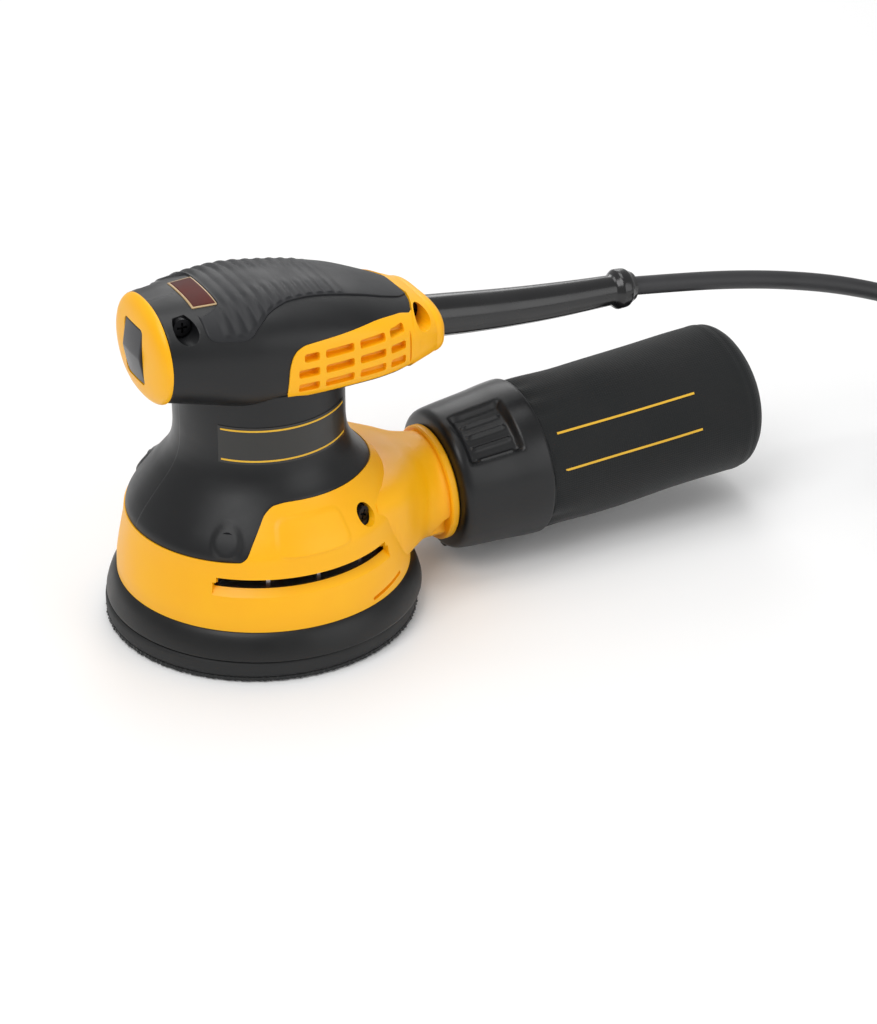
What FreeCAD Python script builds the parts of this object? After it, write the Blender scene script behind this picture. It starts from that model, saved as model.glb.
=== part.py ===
"""Random orbital palm sander with a filter bag and a mains cord, in millimetres.

The origin is on the motor's axis in the plane of the sanding face.  +Z is up, +X points back,
towards the cord and the bag, and the plane Y = 0 is the joint of the two housing halves.
"""
import FreeCAD, Part
import math
import os

V = FreeCAD.Vector
UP = V(0, 0, 1)
ORIGIN = V(0, 0, 0)

# ---- driving sizes -------------------------------------------------------------------------
GAP = 0.3                    # between pieces that move past each other
FIT = 0.05                   # radial clearance of a running fit
SEAT = 0.1                   # clearance of a piece that sits in another

# pad
PAD_R = 62.5                 # 125 mm disc
ORBIT_OFFSET = 1.3           # half of the 2.6 mm orbit
HOOK_T = 1.4
FOAM_TOP = 8.0
PLATE_R = 57.0
PLATE_T = 3.5
PAD_HOLES = 8
PAD_HOLE_R = 5.0
PAD_HOLE_CIRCLE_R = 32.5
PAD_SCREWS = 3
PAD_SCREW_R = 2.5
PAD_SCREW_CIRCLE_R = 10.0
PAD_SCREW_HEAD_R = 4.2
PAD_SCREW_HEAD_H = 3.0
SPINDLE_FLANGE_R = 15.0
SPINDLE_FLANGE_T = 2.6

# skirt and brake ring
SKIRT_BOTTOM = 19.3
SKIRT_R = 58.6
RING_R = 64.5
RING_BOTTOM_R = 63.2
RING_Z = 13.6                # widest level of the brake ring
SKIRT_WALL = 2.5
BELL_R = 53.6                # where the bell starts to turn in
BELL_Z = 47.0                # top edge of the skirt at the front
SKIRT_BACK_Z = 65.5          # top edge of the skirt at the back
SLOT_Z0, SLOT_Z1 = 36.0, 41.2
SLOT_FROM, SLOT_TO = 55.0, 133.0      # degrees from +X, on each side

# neck and head
NECK_R = 33.6
NECK_Z = 72.0
WALL = 2.5
GRIP_T = 1.3
HEAD_FRONT, HEAD_BACK = -46.2, 77.0
HEAD_LOW = 99.8
HEAD_TOPS = (141.5, 143.4, 133.4, 117.5)       # heights at the front, -12, 34 and the back
HEAD_SIDES = (22.5, 35.4, 28.0, 12.5)          # half widths at the front, 10, 53 and the back
HEAD_ROUND = 13.0
CAP_FRONT = -51.6
CAP_W, CAP_LOW, CAP_TOP = 21.5, 102.5, 141.5
TONGUE_INSET = 3.7           # the cap's tongue inside the head, from the cap's outline
REAR_SPLIT_X = 53.0
NECK_TOP = 103.3
LABEL_Z0, LABEL_Z1 = 79.0, 90.0
LABEL_FROM, LABEL_TO = -142.0, -41.0
GRILLE_COLUMNS = [(-1.5, 8.0), (10.2, 20.2), (22.4, 32.4), (34.6, 42.6)]
GRILLE_ROWS = [109.6, 115.6, 121.6]
GRILLE_SLOT_H = 3.4

# screws: the housing's as (x, z, distance of the head's seat from the middle)
HOUSING_SCREWS = [(-37.8, 136.2, 15.0), (60.5, 118.6, 9.0)]
BOSS_R = 4.2
SCREW_R, SCREW_HEAD_R, SCREW_HEAD_H = 1.8, 3.4, 2.6
SKIRT_SCREW_Z, SKIRT_SCREW_SEAT = 53.8, 46.6

# switch
ROCKER_W, ROCKER_H = 18.0, 18.0
ROCKER_Z = 122.0
ROCKER_FACE_X = -51.3
ROCKER_RIDGE = 2.6
ROCKER_PIVOT_X = -49.5
ROCKER_PIN_R = 1.4
ROCKER_PIN_OUT = 2.0         # how far each pin stands out of the rocker

# motor
FAN_R = 51.0
CUP_R, CUP_Z0, CUP_Z1 = 16.6, 16.6, 33.0
SHAFT_TOP = 120.0
CORE_R, CORE_Z0, CORE_Z1 = 15.8, 64.0, 92.0
AIR_GAP = 0.6
STATOR_R = 29.5
COMMUTATOR_R, COMMUTATOR_Z0, COMMUTATOR_Z1 = 9.5, 99.0, 108.5
BRUSH_W, BRUSH_H, BRUSH_L = 6.0, 8.0, 13.0

# bearings: bore radius, outer radius, width
BIG_BEARING = (5.0, 13.0, 8.0)
SMALL_BEARING = (3.5, 9.5, 6.0)
BOOT_WALL = 1.6              # rubber boot round the upper bearing
LOWER_BEARING_Z = 46.0
UPPER_BEARING_Z = 111.5

# dust port and bag
PORT_X, PORT_Z = 76.0, 34.0
PORT_TILT = 2.8              # degrees, rising backwards
PORT_R = 22.3
PORT_WALL = 2.4
SPIGOT_R, SPIGOT_L = 20.0, 18.0
DUCT_X0, DUCT_X1 = 30.0, 68.0
DUCT_W0, DUCT_W1 = 42.0, 21.0
DUCT_LOW, DUCT_TOP = 19.6, 57.0
COLLAR_L = 39.0
COLLAR_MOUTH_R, COLLAR_BACK_R = 29.0, 31.6
COLLAR_WALL = 2.2
COLLAR_GRIP = 10.0           # how far the cloth goes into the collar
FRAME_WIRE_R = 1.0
BAG_R = 31.8
BAG_END = 146.0              # along the port's axis from the port's face
BAG_ROUND = 11.0
CLOTH_T = 1.4

# cord
CORD_D = 7.8
BOOT_START = V(77.8, 0, 108.3)
BOOT_END = V(168.0, 0, 100.9)
BOOT_NECK_R = 5.0
BOOT_ROOT = 4.0              # straight length at the boot's root
BOOT_R0, BOOT_R1, BOOT_FLARE_R, BOOT_FLARE_L = 8.4, 6.1, 8.4, 8.0
COIL_C = V(336.0, -90.0, 0)
COIL_R = 47.0                # middle of its turns
COIL_W, COIL_H = 24.0, 23.4
CORD_POINTS = [BOOT_END, V(191, 0, 97.6), V(216, 0, 93.4), V(243, 0, 87.4), V(272, -0.8, 79.2),
               V(301, -4.5, 68.6), V(327, -12, 55.6), V(350.5, -24, 41.2), V(370, -41, 26.4),
               V(383, -60.5, 13.6), V(388.6, -80, 6.0), V(389.5, -94, 4.2)]
TAIL_POINTS = [V(383, -90, 20.0), V(380, -106, 21.6), V(370, -121, 24.0), V(354, -130, 28.0),
               V(336, -132.5, 31.4), V(322, -131.5, 32.2)]
PLUG_L, PLUG_W, PLUG_T = 38.0, 26.0, 17.6
PLUG_FRONT = V(322, -131.5, 32.2)

SHAPES = {}


# ---- helpers -------------------------------------------------------------------------------
def cyl(r, z0, z1, x=0.0, y=0.0):
    """Upright cylinder."""
    return Part.makeCylinder(r, z1 - z0, V(x, y, z0), UP)


def ring(r_out, r_in, z0, z1, x=0.0, y=0.0):
    """Upright ring."""
    return cyl(r_out, z0, z1, x, y).cut(cyl(r_in, z0 - 1, z1 + 1, x, y))


def box(x0, x1, y0, y1, z0, z1):
    """Box between two corners."""
    return Part.makeBox(x1 - x0, y1 - y0, z1 - z0, V(x0, y0, z0))


def both_sides(shape):
    """A shape and its mirror image across Y = 0."""
    return [shape, shape.mirror(ORIGIN, V(0, 1, 0))]


def polar(count, radius, start=0.0, x=0.0, y=0.0):
    """Points evenly spaced on a circle."""
    for k in range(count):
        a = math.radians(start + 360.0 * k / count)
        yield x + radius * math.cos(a), y + radius * math.sin(a), math.degrees(a)


def turned(points):
    """Solid of revolution about Z of a closed (r, z) outline; a point may be an arc (r, z, rm, zm)."""
    edges = []
    here = V(points[0][0], 0, points[0][1])
    for p in list(points[1:]) + [points[0]]:
        there = V(p[0], 0, p[1])
        if there.distanceToPoint(here) < 1e-6:
            continue
        if len(p) == 4:
            edges.append(Part.Arc(here, V(p[2], 0, p[3]), there).toShape())
        else:
            edges.append(Part.LineSegment(here, there).toShape())
        here = there
    return Part.Face(Part.Wire(edges)).revolve(ORIGIN, UP, 360)


def prism_y(points, half):
    """Prism of an (x, z) outline, reaching half a width to each side of Y = 0."""
    corners = [V(x, -half, z) for x, z in points]
    return Part.Face(Part.makePolygon(corners + corners[:1])).extrude(V(0, 2 * half, 0))


def sector(r, a0, a1, z0, z1):
    """Wedge of a disc between two angles."""
    wedge = Part.makeCylinder(r, z1 - z0, V(0, 0, z0), UP, a1 - a0)
    wedge.rotate(ORIGIN, UP, a0)
    return wedge


def on_axis(shape, point, direction):
    """Move a shape built along +Z onto an axis through a point."""
    moved = shape.copy()
    moved.Placement = FreeCAD.Placement(point, FreeCAD.Rotation(UP, direction)).multiply(moved.Placement)
    return moved


def in_one(shapes):
    """Several separate solids as one compound."""
    return Part.makeCompound([s for shape in shapes for s in shape.Solids])


def fused(shapes):
    """Several shapes as one solid."""
    whole = shapes[0].multiFuse(shapes[1:]) if len(shapes) > 1 else shapes[0]
    return whole.removeSplitter()


def outline(points, normal_way):
    """Face of an outline of points; a point given as a pair is reached by an arc through the first."""
    edges, here = [], points[0]
    for p in points[1:] + [points[0]]:
        if isinstance(p, tuple):
            edges.append(Part.Arc(here, p[0], p[1]).toShape())
            here = p[1]
        elif (p - here).Length > 1e-6:
            edges.append(Part.LineSegment(here, p).toShape())
            here = p
    return Part.Face(Part.Wire(edges)).extrude(normal_way)


def head_solid(inset):
    """Head: its side outline and its plan outline, each pulled in, with the long edges rounded."""
    i = inset
    x0, x1 = HEAD_FRONT + i, HEAD_BACK - i
    t0, t1, t2, t3 = [t - i for t in HEAD_TOPS]
    w0, w1, w2, w3 = [w - i for w in HEAD_SIDES]
    low = HEAD_LOW + i
    side = outline([V(x0, -60, low), V(x0, -60, t0), (V(-12, -60, t1), V(34, -60, t2)),
                    (V(58, -60, (t2 + t3) / 2 + 1), V(x1, -60, t3)), V(x1, -60, low)], V(0, 120, 0))
    plan = outline([V(x0, -w0, 90), (V(10, -w1, 90), V(53, -w2, 90)), V(x1, -w3, 90), V(x1, w3, 90),
                    V(53, w2, 90), (V(10, w1, 90), V(x0, w0, 90))], V(0, 0, 70))
    cut = HEAD_ROUND
    end = outline([V(-60, -w1, low), V(-60, w1, low), V(-60, w1, t1 - cut), V(-60, w1 - cut, t1),
                   V(-60, -w1 + cut, t1), V(-60, -w1, t1 - cut)], V(160, 0, 0))
    return side.common(plan).common(end)


def bearing(name, size, z, x=0.0):
    """Ball bearing: an outer race, and an inner race with its balls."""
    bore, outer, width = size
    step = (outer - bore) / 3.2
    race_in, race_out = bore + step, outer - step
    ball_r = (race_out - race_in) / 2.0 - FIT
    middle = (race_in + race_out) / 2.0
    SHAPES[name + "_outer"] = ring(outer, race_out, z, z + width, x)
    balls = [Part.makeSphere(ball_r, V(bx, by, z + width / 2.0))
             for bx, by, _ in polar(8, middle, 0, x)]
    SHAPES[name + "_inner"] = in_one([ring(race_in, bore, z, z + width, x)] + balls)


def hex_screw(head_r, head_h, shank_r, length):
    """Screw along +Z with its head's top at zero, the shank going down, and a cross recess."""
    head = Part.makeCylinder(head_r, head_h, V(0, 0, -head_h), UP)
    shank = Part.makeCylinder(shank_r, length, V(0, 0, -head_h - length), UP)
    arm = head_r * 0.6
    slots = [box(-arm, arm, -head_r * 0.13, head_r * 0.13, -head_h * 0.5, 1),
             box(-head_r * 0.13, head_r * 0.13, -arm, arm, -head_h * 0.5, 1)]
    return head.fuse(shank).cut(slots[0].fuse(slots[1])).removeSplitter()


def cord_tube(points, radius):
    """Tube along straight runs joined by tangent arcs; prints its radii and checks its volume."""
    edges, here, radii = [], points[0], []
    for before, corner, after in zip(points, points[1:], points[2:]):
        run_in, run_out = corner - before, after - corner
        short = min(run_in.Length, run_out.Length)
        d0, d1 = V(run_in).normalize(), V(run_out).normalize()
        half = d0.getAngle(d1) / 2.0
        cut = 0.45 * short
        start, end = corner - d0 * cut, corner + d1 * cut
        bend = cut / math.tan(half)
        centre_way = (d1 - d0).normalize()
        middle = corner + centre_way * (bend / math.cos(half) - bend)
        edges.append(Part.LineSegment(here, start).toShape())
        edges.append(Part.Arc(start, middle, end).toShape())
        here = end
        radii.append(round(bend, 1))
    edges.append(Part.LineSegment(here, points[-1]).toShape())
    path = Part.Wire(edges)
    first = V(points[1] - points[0]).normalize()
    profile = Part.Wire(Part.makeCircle(radius, points[0], first))
    tube = path.makePipeShell([profile], True, True)
    expected = math.pi * radius ** 2 * path.Length
    print("cord radii", radii, "length", round(path.Length, 1), "volume ratio",
          round(tube.Volume / expected, 4))
    return tube


# ---- pad -----------------------------------------------------------------------------------
def make_pad():
    """Sanding pad on its spindle, centred on the orbit's offset axis."""
    x = -ORBIT_OFFSET
    plate_top = FOAM_TOP + PLATE_T
    holes = fused([cyl(PAD_HOLE_R, -1, plate_top + 1, hx, hy)
                   for hx, hy, _ in polar(PAD_HOLES, PAD_HOLE_CIRCLE_R, 22.5, x)])
    screw_at = [(sx, sy) for sx, sy, _ in polar(PAD_SCREWS, PAD_SCREW_CIRCLE_R, 90, x)]
    wells = fused([cyl(PAD_SCREW_HEAD_R + GAP, -1, FOAM_TOP, sx, sy) for sx, sy in screw_at])
    shanks = fused([cyl(PAD_SCREW_R + SEAT, FOAM_TOP - 1, plate_top + 1, sx, sy) for sx, sy in screw_at])
    SHAPES["hook_face"] = cyl(PAD_R - 0.6, 0, HOOK_T, x).cut(holes).cut(wells)
    foam = turned([(0, HOOK_T), (PAD_R - 0.6, HOOK_T), (PAD_R, HOOK_T + 0.8), (PAD_R, FOAM_TOP - 1.2),
                   (PAD_R - 1.2, FOAM_TOP), (0, FOAM_TOP)])
    foam.translate(V(x, 0, 0))
    SHAPES["pad_foam"] = foam.cut(holes).cut(wells)
    hub_top = plate_top + 1.5
    plate = cyl(PLATE_R, FOAM_TOP, plate_top, x).fuse(cyl(SPINDLE_FLANGE_R + 3, FOAM_TOP, hub_top, x))
    seat = cyl(SPINDLE_FLANGE_R + SEAT, plate_top, hub_top + 1, x)
    SHAPES["pad_plate"] = plate.cut(seat).cut(holes).cut(shanks).removeSplitter()
    flange_top = plate_top + SPINDLE_FLANGE_T
    pin_top = CUP_Z0 + BIG_BEARING[2]
    spindle = cyl(SPINDLE_FLANGE_R, plate_top, flange_top, x)
    spindle = spindle.fuse(cyl(BIG_BEARING[0] + 2, flange_top, CUP_Z0, x))
    spindle = spindle.fuse(cyl(BIG_BEARING[0], CUP_Z0, pin_top, x))
    threads = fused([cyl(PAD_SCREW_R, plate_top - 1, flange_top + 1, sx, sy) for sx, sy in screw_at])
    SHAPES["orbit_spindle"] = spindle.cut(threads).removeSplitter()
    screws = []
    for sx, sy in screw_at:
        screw = hex_screw(PAD_SCREW_HEAD_R, PAD_SCREW_HEAD_H, PAD_SCREW_R, PLATE_T + 2.0)
        screws.append(on_axis(screw, V(sx, sy, FOAM_TOP - PAD_SCREW_HEAD_H), V(0, 0, -1)))
    SHAPES["pad_screws"] = in_one(screws)
    bearing("orbit_bearing", BIG_BEARING, CUP_Z0, x)


# ---- rotor ---------------------------------------------------------------------------------
def make_rotor():
    """Fan with its eccentric cup, counterweight, shaft, armature and commutator."""
    x = -ORBIT_OFFSET
    hub_top = LOWER_BEARING_Z - 0.5
    disc_z = CUP_Z1
    disc_t = 2.0
    blades = []
    for bx, by, a in polar(16, 0, 0):
        upper = box(21, FAN_R, -0.8, 0.8, disc_z + disc_t - 0.5, SLOT_Z1 + 1.0)
        lower = box(26, FAN_R - 4, -0.8, 0.8, disc_z - 8.0, disc_z + 0.5)
        for blade in (upper, lower):
            blade.rotate(ORIGIN, UP, a)
            blades.append(blade)
    disc = cyl(FAN_R, disc_z, disc_z + disc_t)
    cup = cyl(CUP_R, CUP_Z0 - 0.6, disc_z + 0.5, x)
    fan = fused([disc, cup, cyl(12, disc_z, hub_top)] + blades)
    pocket = cyl(BIG_BEARING[1], CUP_Z0 - 2, CUP_Z0 + BIG_BEARING[2], x)
    fan = fan.cut(pocket).cut(cyl(BIG_BEARING[0], CUP_Z0, hub_top + 1))
    weight = sector(36, -75, 75, disc_z - 6.5, disc_z).cut(cyl(CUP_R + SEAT, 0, 60, x)).cut(cyl(18, 0, 60))
    fan = fan.cut(sector(36 + SEAT, -75.4, 75.4, disc_z - 9, disc_z).cut(cyl(CUP_R, 0, 60, x)))
    SHAPES["fan"] = fan.removeSplitter()
    SHAPES["counterweight"] = weight
    bore, small = BIG_BEARING[0], SMALL_BEARING[0]
    shaft = fused([cyl(bore, CUP_Z0 + BIG_BEARING[2] + 3, LOWER_BEARING_Z + BIG_BEARING[2] + 1.5),
                   cyl(4.0, LOWER_BEARING_Z + BIG_BEARING[2], UPPER_BEARING_Z - 1),
                   cyl(small, UPPER_BEARING_Z - 1.5, SHAFT_TOP)])
    SHAPES["rotor_shaft"] = shaft
    core = ring(CORE_R, 4.0, CORE_Z0, CORE_Z1)
    slots = []
    for _, _, a in polar(12, 0, 0):
        slot = box(9.5, CORE_R + 1, -0.7, 0.7, CORE_Z0 - 1, CORE_Z1 + 1)
        slot = slot.fuse(Part.makeCylinder(2.1, CORE_Z1 - CORE_Z0 + 2, V(11.4, 0, CORE_Z0 - 1), UP))
        slot.rotate(ORIGIN, UP, a)
        slots.append(slot)
    SHAPES["armature_core"] = core.cut(slots[0].multiFuse(slots[1:]))
    ends = []
    for z0, z1, z2 in ((CORE_Z0, CORE_Z0 - 3.0, CORE_Z0 - 6.0), (CORE_Z1, CORE_Z1 + 3.0, CORE_Z1 + 6.0)):
        ends.append(turned([(4.2, z0), (13.6, z0), (12.6, z2, 14.6, z1), (4.2, z2)]))
    SHAPES["armature_windings"] = in_one(ends)
    bars = ring(COMMUTATOR_R, 4.0, COMMUTATOR_Z0, COMMUTATOR_Z1)
    cuts = []
    for _, _, a in polar(24, 0, 0):
        cut = box(COMMUTATOR_R - 1.0, COMMUTATOR_R + 1, -0.2, 0.2, COMMUTATOR_Z0 - 1, COMMUTATOR_Z1 + 1)
        cut.rotate(ORIGIN, UP, a)
        cuts.append(cut)
    SHAPES["commutator"] = bars.cut(cuts[0].multiFuse(cuts[1:]))
    bearing("lower_bearing", BIG_BEARING, LOWER_BEARING_Z)
    bearing("upper_bearing", SMALL_BEARING, UPPER_BEARING_Z)


# ---- field, brushes and wiring ---------------------------------------------------------------
def make_motor():
    """Field core and coils, brush gear and the boot of the upper bearing."""
    inner = CORE_R + AIR_GAP
    core = ring(STATOR_R, STATOR_R - 4.5, CORE_Z0, CORE_Z1)
    poles = []
    for sign in (1, -1):
        shoe = sector(inner + 3.5, -52, 52, CORE_Z0, CORE_Z1)
        shoe = shoe.fuse(box(inner, STATOR_R - 3, -7, 7, CORE_Z0, CORE_Z1))
        if sign < 0:
            shoe.rotate(ORIGIN, UP, 180)
        poles.append(shoe)
    SHAPES["stator_core"] = fused([core] + poles).cut(cyl(inner, CORE_Z0 - 1, CORE_Z1 + 1)).removeSplitter()
    coils = []
    for sign in (1, -1):
        x0, x1 = inner + 4.0, STATOR_R - 5.0
        outer = box(x0, x1, -15.5, 15.5, CORE_Z0 - 4.5, CORE_Z1 + 4.5)
        hole = box(x0 - 1, x1 + 1, -7.3, 7.3, CORE_Z0 - 0.3, CORE_Z1 + 0.3)
        coil = outer.cut(hole).common(cyl(STATOR_R - 4.8, 0, 200))
        if sign < 0:
            coil.rotate(ORIGIN, UP, 180)
        coils.append(coil)
    SHAPES["field_coils"] = in_one(coils)
    z0, z1 = UPPER_BEARING_Z, UPPER_BEARING_Z + SMALL_BEARING[2]
    boot = ring(SMALL_BEARING[1] + BOOT_WALL, SMALL_BEARING[1], z0, z1 + 1.5)
    SHAPES["bearing_boot"] = boot
    zb = (COMMUTATOR_Z0 + COMMUTATOR_Z1) / 2.0
    y0 = COMMUTATOR_R + 0.02
    y1 = y0 + BRUSH_L
    brush = box(-BRUSH_W / 2, BRUSH_W / 2, -y1, -y0, zb - BRUSH_H / 2, zb + BRUSH_H / 2)
    brush = brush.cut(cyl(COMMUTATOR_R + 0.02, 0, 200))
    SHAPES["carbon_brushes"] = in_one(both_sides(brush))
    holder_y = 29.0
    w, h = BRUSH_W / 2 + FIT, BRUSH_H / 2 + FIT
    holder = box(-w - 1.2, w + 1.2, -holder_y, -y0 - 2.5, zb - h - 1.2, zb + h + 1.2)
    holder = holder.cut(box(-w, w, -holder_y + 1.2, 0, zb - h, zb + h))
    SHAPES["brush_holders"] = in_one(both_sides(holder))
    spring = on_axis(ring(2.4, 1.4, 0, holder_y - 1.2 - y1), V(0, -y1, zb), V(0, -1, 0))
    SHAPES["brush_springs"] = in_one(both_sides(spring))


def make_switch():
    """Rocker, its rubber boot, the switch behind it, the capacitor and the leads."""
    half_w, half_h = ROCKER_W / 2, ROCKER_H / 2
    face, ridge = ROCKER_FACE_X, ROCKER_FACE_X - ROCKER_RIDGE
    outline = [(face, ROCKER_Z + half_h), (ridge, ROCKER_Z), (face, ROCKER_Z - half_h),
               (face + 2.2, ROCKER_Z - half_h), (face + 5.5, ROCKER_Z - half_h + 4.5),
               (face + 5.5, ROCKER_Z + half_h - 4.5), (face + 2.2, ROCKER_Z + half_h)]
    pins = y_hole(ROCKER_PIN_R, ROCKER_PIVOT_X, ROCKER_Z, -half_w - ROCKER_PIN_OUT, half_w + ROCKER_PIN_OUT)
    SHAPES["rocker"] = fused([prism_y(outline, half_w), pins])
    back = face + 5.5 + 2.6
    SHAPES["switch_body"] = box(back, back + 19, -10.5, 10.5, ROCKER_Z - 9.4, ROCKER_Z + 9.4)
    frame = box(back - 0.8, back, -10.6, 10.6, ROCKER_Z - 9.6, ROCKER_Z + 9.6)
    SHAPES["switch_plate"] = frame
    SHAPES["capacitor"] = box(22, 33, -7, 7, 117.5, 126.0)
    wires = []
    for y in (-5.0, 5.0):
        points = [V(back + 19.1, y, ROCKER_Z + 6), V(-10, y * 1.6, 131.5), V(10, y * 2.0, 131.0),
                  V(30, y * 2.2, 128.3), V(47, y * 1.2, 115.5), V(55.5, y * 0.6, 110.8)]
        wires.append(cord_tube(points, 1.1))
    SHAPES["lead_wires"] = in_one(wires)


# ---- housing -------------------------------------------------------------------------------
def bell_solid(inset):
    """Bell and neck as one turned solid, pulled in by an inset."""
    i = inset
    return turned([(0, SKIRT_BOTTOM - 5), (SKIRT_R + 0.3 - i, SKIRT_BOTTOM - 5),
                   (SKIRT_R - i, SKIRT_BOTTOM), (BELL_R - i, BELL_Z, 57.0 - i, 32.0),
                   (36.4 - i, NECK_Z, 48.2 - i, 57.2), (NECK_R - i, NECK_Z + 8, 34.3 - i, 75.6),
                   (NECK_R - i, NECK_TOP), (0, NECK_TOP)])


def skirt_zone(grow):
    """Where the yellow skirt shows: low at the front, stepping up behind."""
    g, low, high = grow, BELL_Z, SKIRT_BACK_Z
    return prism_y([(-80, -10), (110, -10), (110, high - 4 + g), (41, high - 1.5 + g),
                    (14, high + g), (-8, high + g), (-14 - g, high - 1.5 + g), (-18 - g, high - 4.5 + g),
                    (-27 - g, low + 2 + g), (-30 - g, low + 0.5 + g), (-34 - g, low + g),
                    (-80, low + g)], 90)


def rear_zone(grow):
    """Where the rear cap shows: the tail of the head and a vent panel along each side."""
    g, split = grow, REAR_SPLIT_X
    tail = prism_y([(split - 1 - g, 160), (split + 6 - g, 90), (90, 90), (90, 160)], 60)
    side = prism_y([(-5 - g, 103.5 - g), (-4.6 - g, 109 + g), (1.5, 124.6 + g), (18, 126.4 + g),
                    (43, 126.6 + g), (split + 9, 126 + g), (split + 9, 103.5 - g)], 60)
    middle = box(-60, split + 2 + g, -22 + g, 22 - g, 90, 160)
    return tail.fuse(side.cut(middle))


def grip_zone(grow):
    """Plan of the soft grip over the top of the head."""
    g = grow
    return prism_y([(-27 - g, 160), (-27 - g, 130 - g), (-23 - g, 126 - g), (-9 + g, 126 - g),
                    (2 + g, 130 - g), (30, 128.5 - g), (46 + g, 127.6 - g), (47 + g, 160)], 60)


def y_hole(r, x, z, y0, y1):
    """Cylinder along Y."""
    return Part.makeCylinder(r, y1 - y0, V(x, y0, z), V(0, 1, 0))


def radial_hole(r, angle, z, r0, r1):
    """Cylinder along a radius at an angle from +X."""
    a = math.radians(angle)
    d = V(math.cos(a), math.sin(a), 0)
    return Part.makeCylinder(r, r1 - r0, d * r0 + V(0, 0, z), d)


def grille_slots():
    """Air slots of the vent panels, cut through both sides."""
    slots = []
    for x0, x1 in GRILLE_COLUMNS:
        for z in GRILLE_ROWS:
            slots.append(box(x0, x1, -60, 60, z - GRILLE_SLOT_H / 2, z + GRILLE_SLOT_H / 2))
    return slots[0].multiFuse(slots[1:])


def web_and_seats():
    """Inside the halves: web with the lower bearing's seat, ribs round the field, upper seat."""
    web_z = LOWER_BEARING_Z + BIG_BEARING[2]
    web = bell_solid(3.5).common(cyl(80, web_z, web_z + 2.0))
    web = web.fuse(cyl(BIG_BEARING[1] + 3, LOWER_BEARING_Z, web_z + 2.0))
    web = web.cut(cyl(BIG_BEARING[1], 0, web_z)).cut(cyl(BIG_BEARING[0] + 2.5, 0, 80))
    web = web.cut(fused([cyl(5.0, web_z - 1, web_z + 4, vx, vy) for vx, vy, _ in polar(8, 24.0, 22.5)]))
    ribs = []
    for _, _, a in polar(4, 1.0, 45):
        rib = box(STATOR_R + FIT, NECK_R - WALL + 0.5, -2, 2, CORE_Z0 + 9, CORE_Z1 - 2)
        rib.rotate(ORIGIN, UP, a)
        ribs.append(rib)
    seat_r = SMALL_BEARING[1] + BOOT_WALL
    seat_z = UPPER_BEARING_Z + SMALL_BEARING[2]
    seat = ring(seat_r + 2.0, seat_r, UPPER_BEARING_Z, seat_z + 1.5)
    reach = HEAD_SIDES[1] - WALL - 0.7
    arms = both_sides(box(-19, -8, 5, reach, UPPER_BEARING_Z, seat_z).cut(cyl(seat_r + 1, 0, 200)))
    return [web, seat] + ribs + arms


def make_housing():
    """Black halves, soft grip, rear cap and their screws."""
    head = head_solid(0)
    head_core = head_solid(WALL).fuse(egg(TONGUE_INSET - SEAT, HEAD_FRONT - 1, HEAD_FRONT + WALL + 1))
    neck_core = cyl(NECK_R - WALL, NECK_Z - 6, NECK_TOP + 4)
    head_shell = head.cut(head_core)
    bell = bell_solid(0).common(cyl(80, BELL_Z - 3, NECK_TOP)).cut(bell_solid(SKIRT_WALL + 2.1))
    pocket = bell_solid(-2).cut(bell_solid(SKIRT_WALL + SEAT)).common(skirt_zone(SEAT))
    bell = bell.cut(pocket).cut(head_core)
    bosses = []
    for x, z, y_seat in HOUSING_SCREWS:
        bosses.append(y_hole(BOSS_R, x, z, -y_seat - 9, y_seat + 4).common(head_solid(WALL + SEAT)))
    brace = box(40, HOUSING_SCREWS[1][0], -2, 2, HOUSING_SCREWS[1][1] - 3, 150)
    bosses.append(brace.common(head_solid(WALL + SEAT)))
    bosses.append(box(40, 50, -2, 2, HOUSING_SCREWS[1][1] - 3, 150).common(head_solid(WALL - 0.5)))
    front_x, front_z, _ = HOUSING_SCREWS[0]
    bosses.append(box(front_x - 1.5, front_x + 1.5, -12, 12, front_z, 150).common(head_solid(WALL - 0.5)))
    black = fused([head_shell.cut(rear_zone(SEAT)), bell, *bosses, *web_and_seats()])
    black = black.cut(neck_core)
    black = fused([black] + [p.common(neck_core) for p in web_and_seats()[2:]])
    skin = head_solid(GRIP_T)
    black = black.cut(head_solid(-2).cut(skin).common(grip_zone(SEAT)))
    rear = head_shell.common(rear_zone(0)).cut(grille_slots())
    exit_bore = on_axis(cyl(BOOT_NECK_R + SEAT, -10, 10), BOOT_START, boot_axis())
    rear = rear.cut(exit_bore)
    screws = []
    for x, z, y_seat in HOUSING_SCREWS:
        well = y_hole(SCREW_HEAD_R + GAP, x, z, -60, -y_seat)
        black = black.cut(well).cut(y_hole(SCREW_R, x, z, -y_seat - 1, y_seat + 1))
        rear = rear.cut(well)
        screw = hex_screw(SCREW_HEAD_R, SCREW_HEAD_H, SCREW_R, 2 * y_seat)
        screws.append(on_axis(screw, V(x, -y_seat - SCREW_HEAD_H, z), V(0, -1, 0)))
    SHAPES["housing_screws"] = in_one(screws)
    SHAPES["top_grip"] = head.cut(skin).common(grip_zone(0)).removeSplitter()
    SHAPES["rear_cap"] = rear.removeSplitter()
    return black


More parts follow.
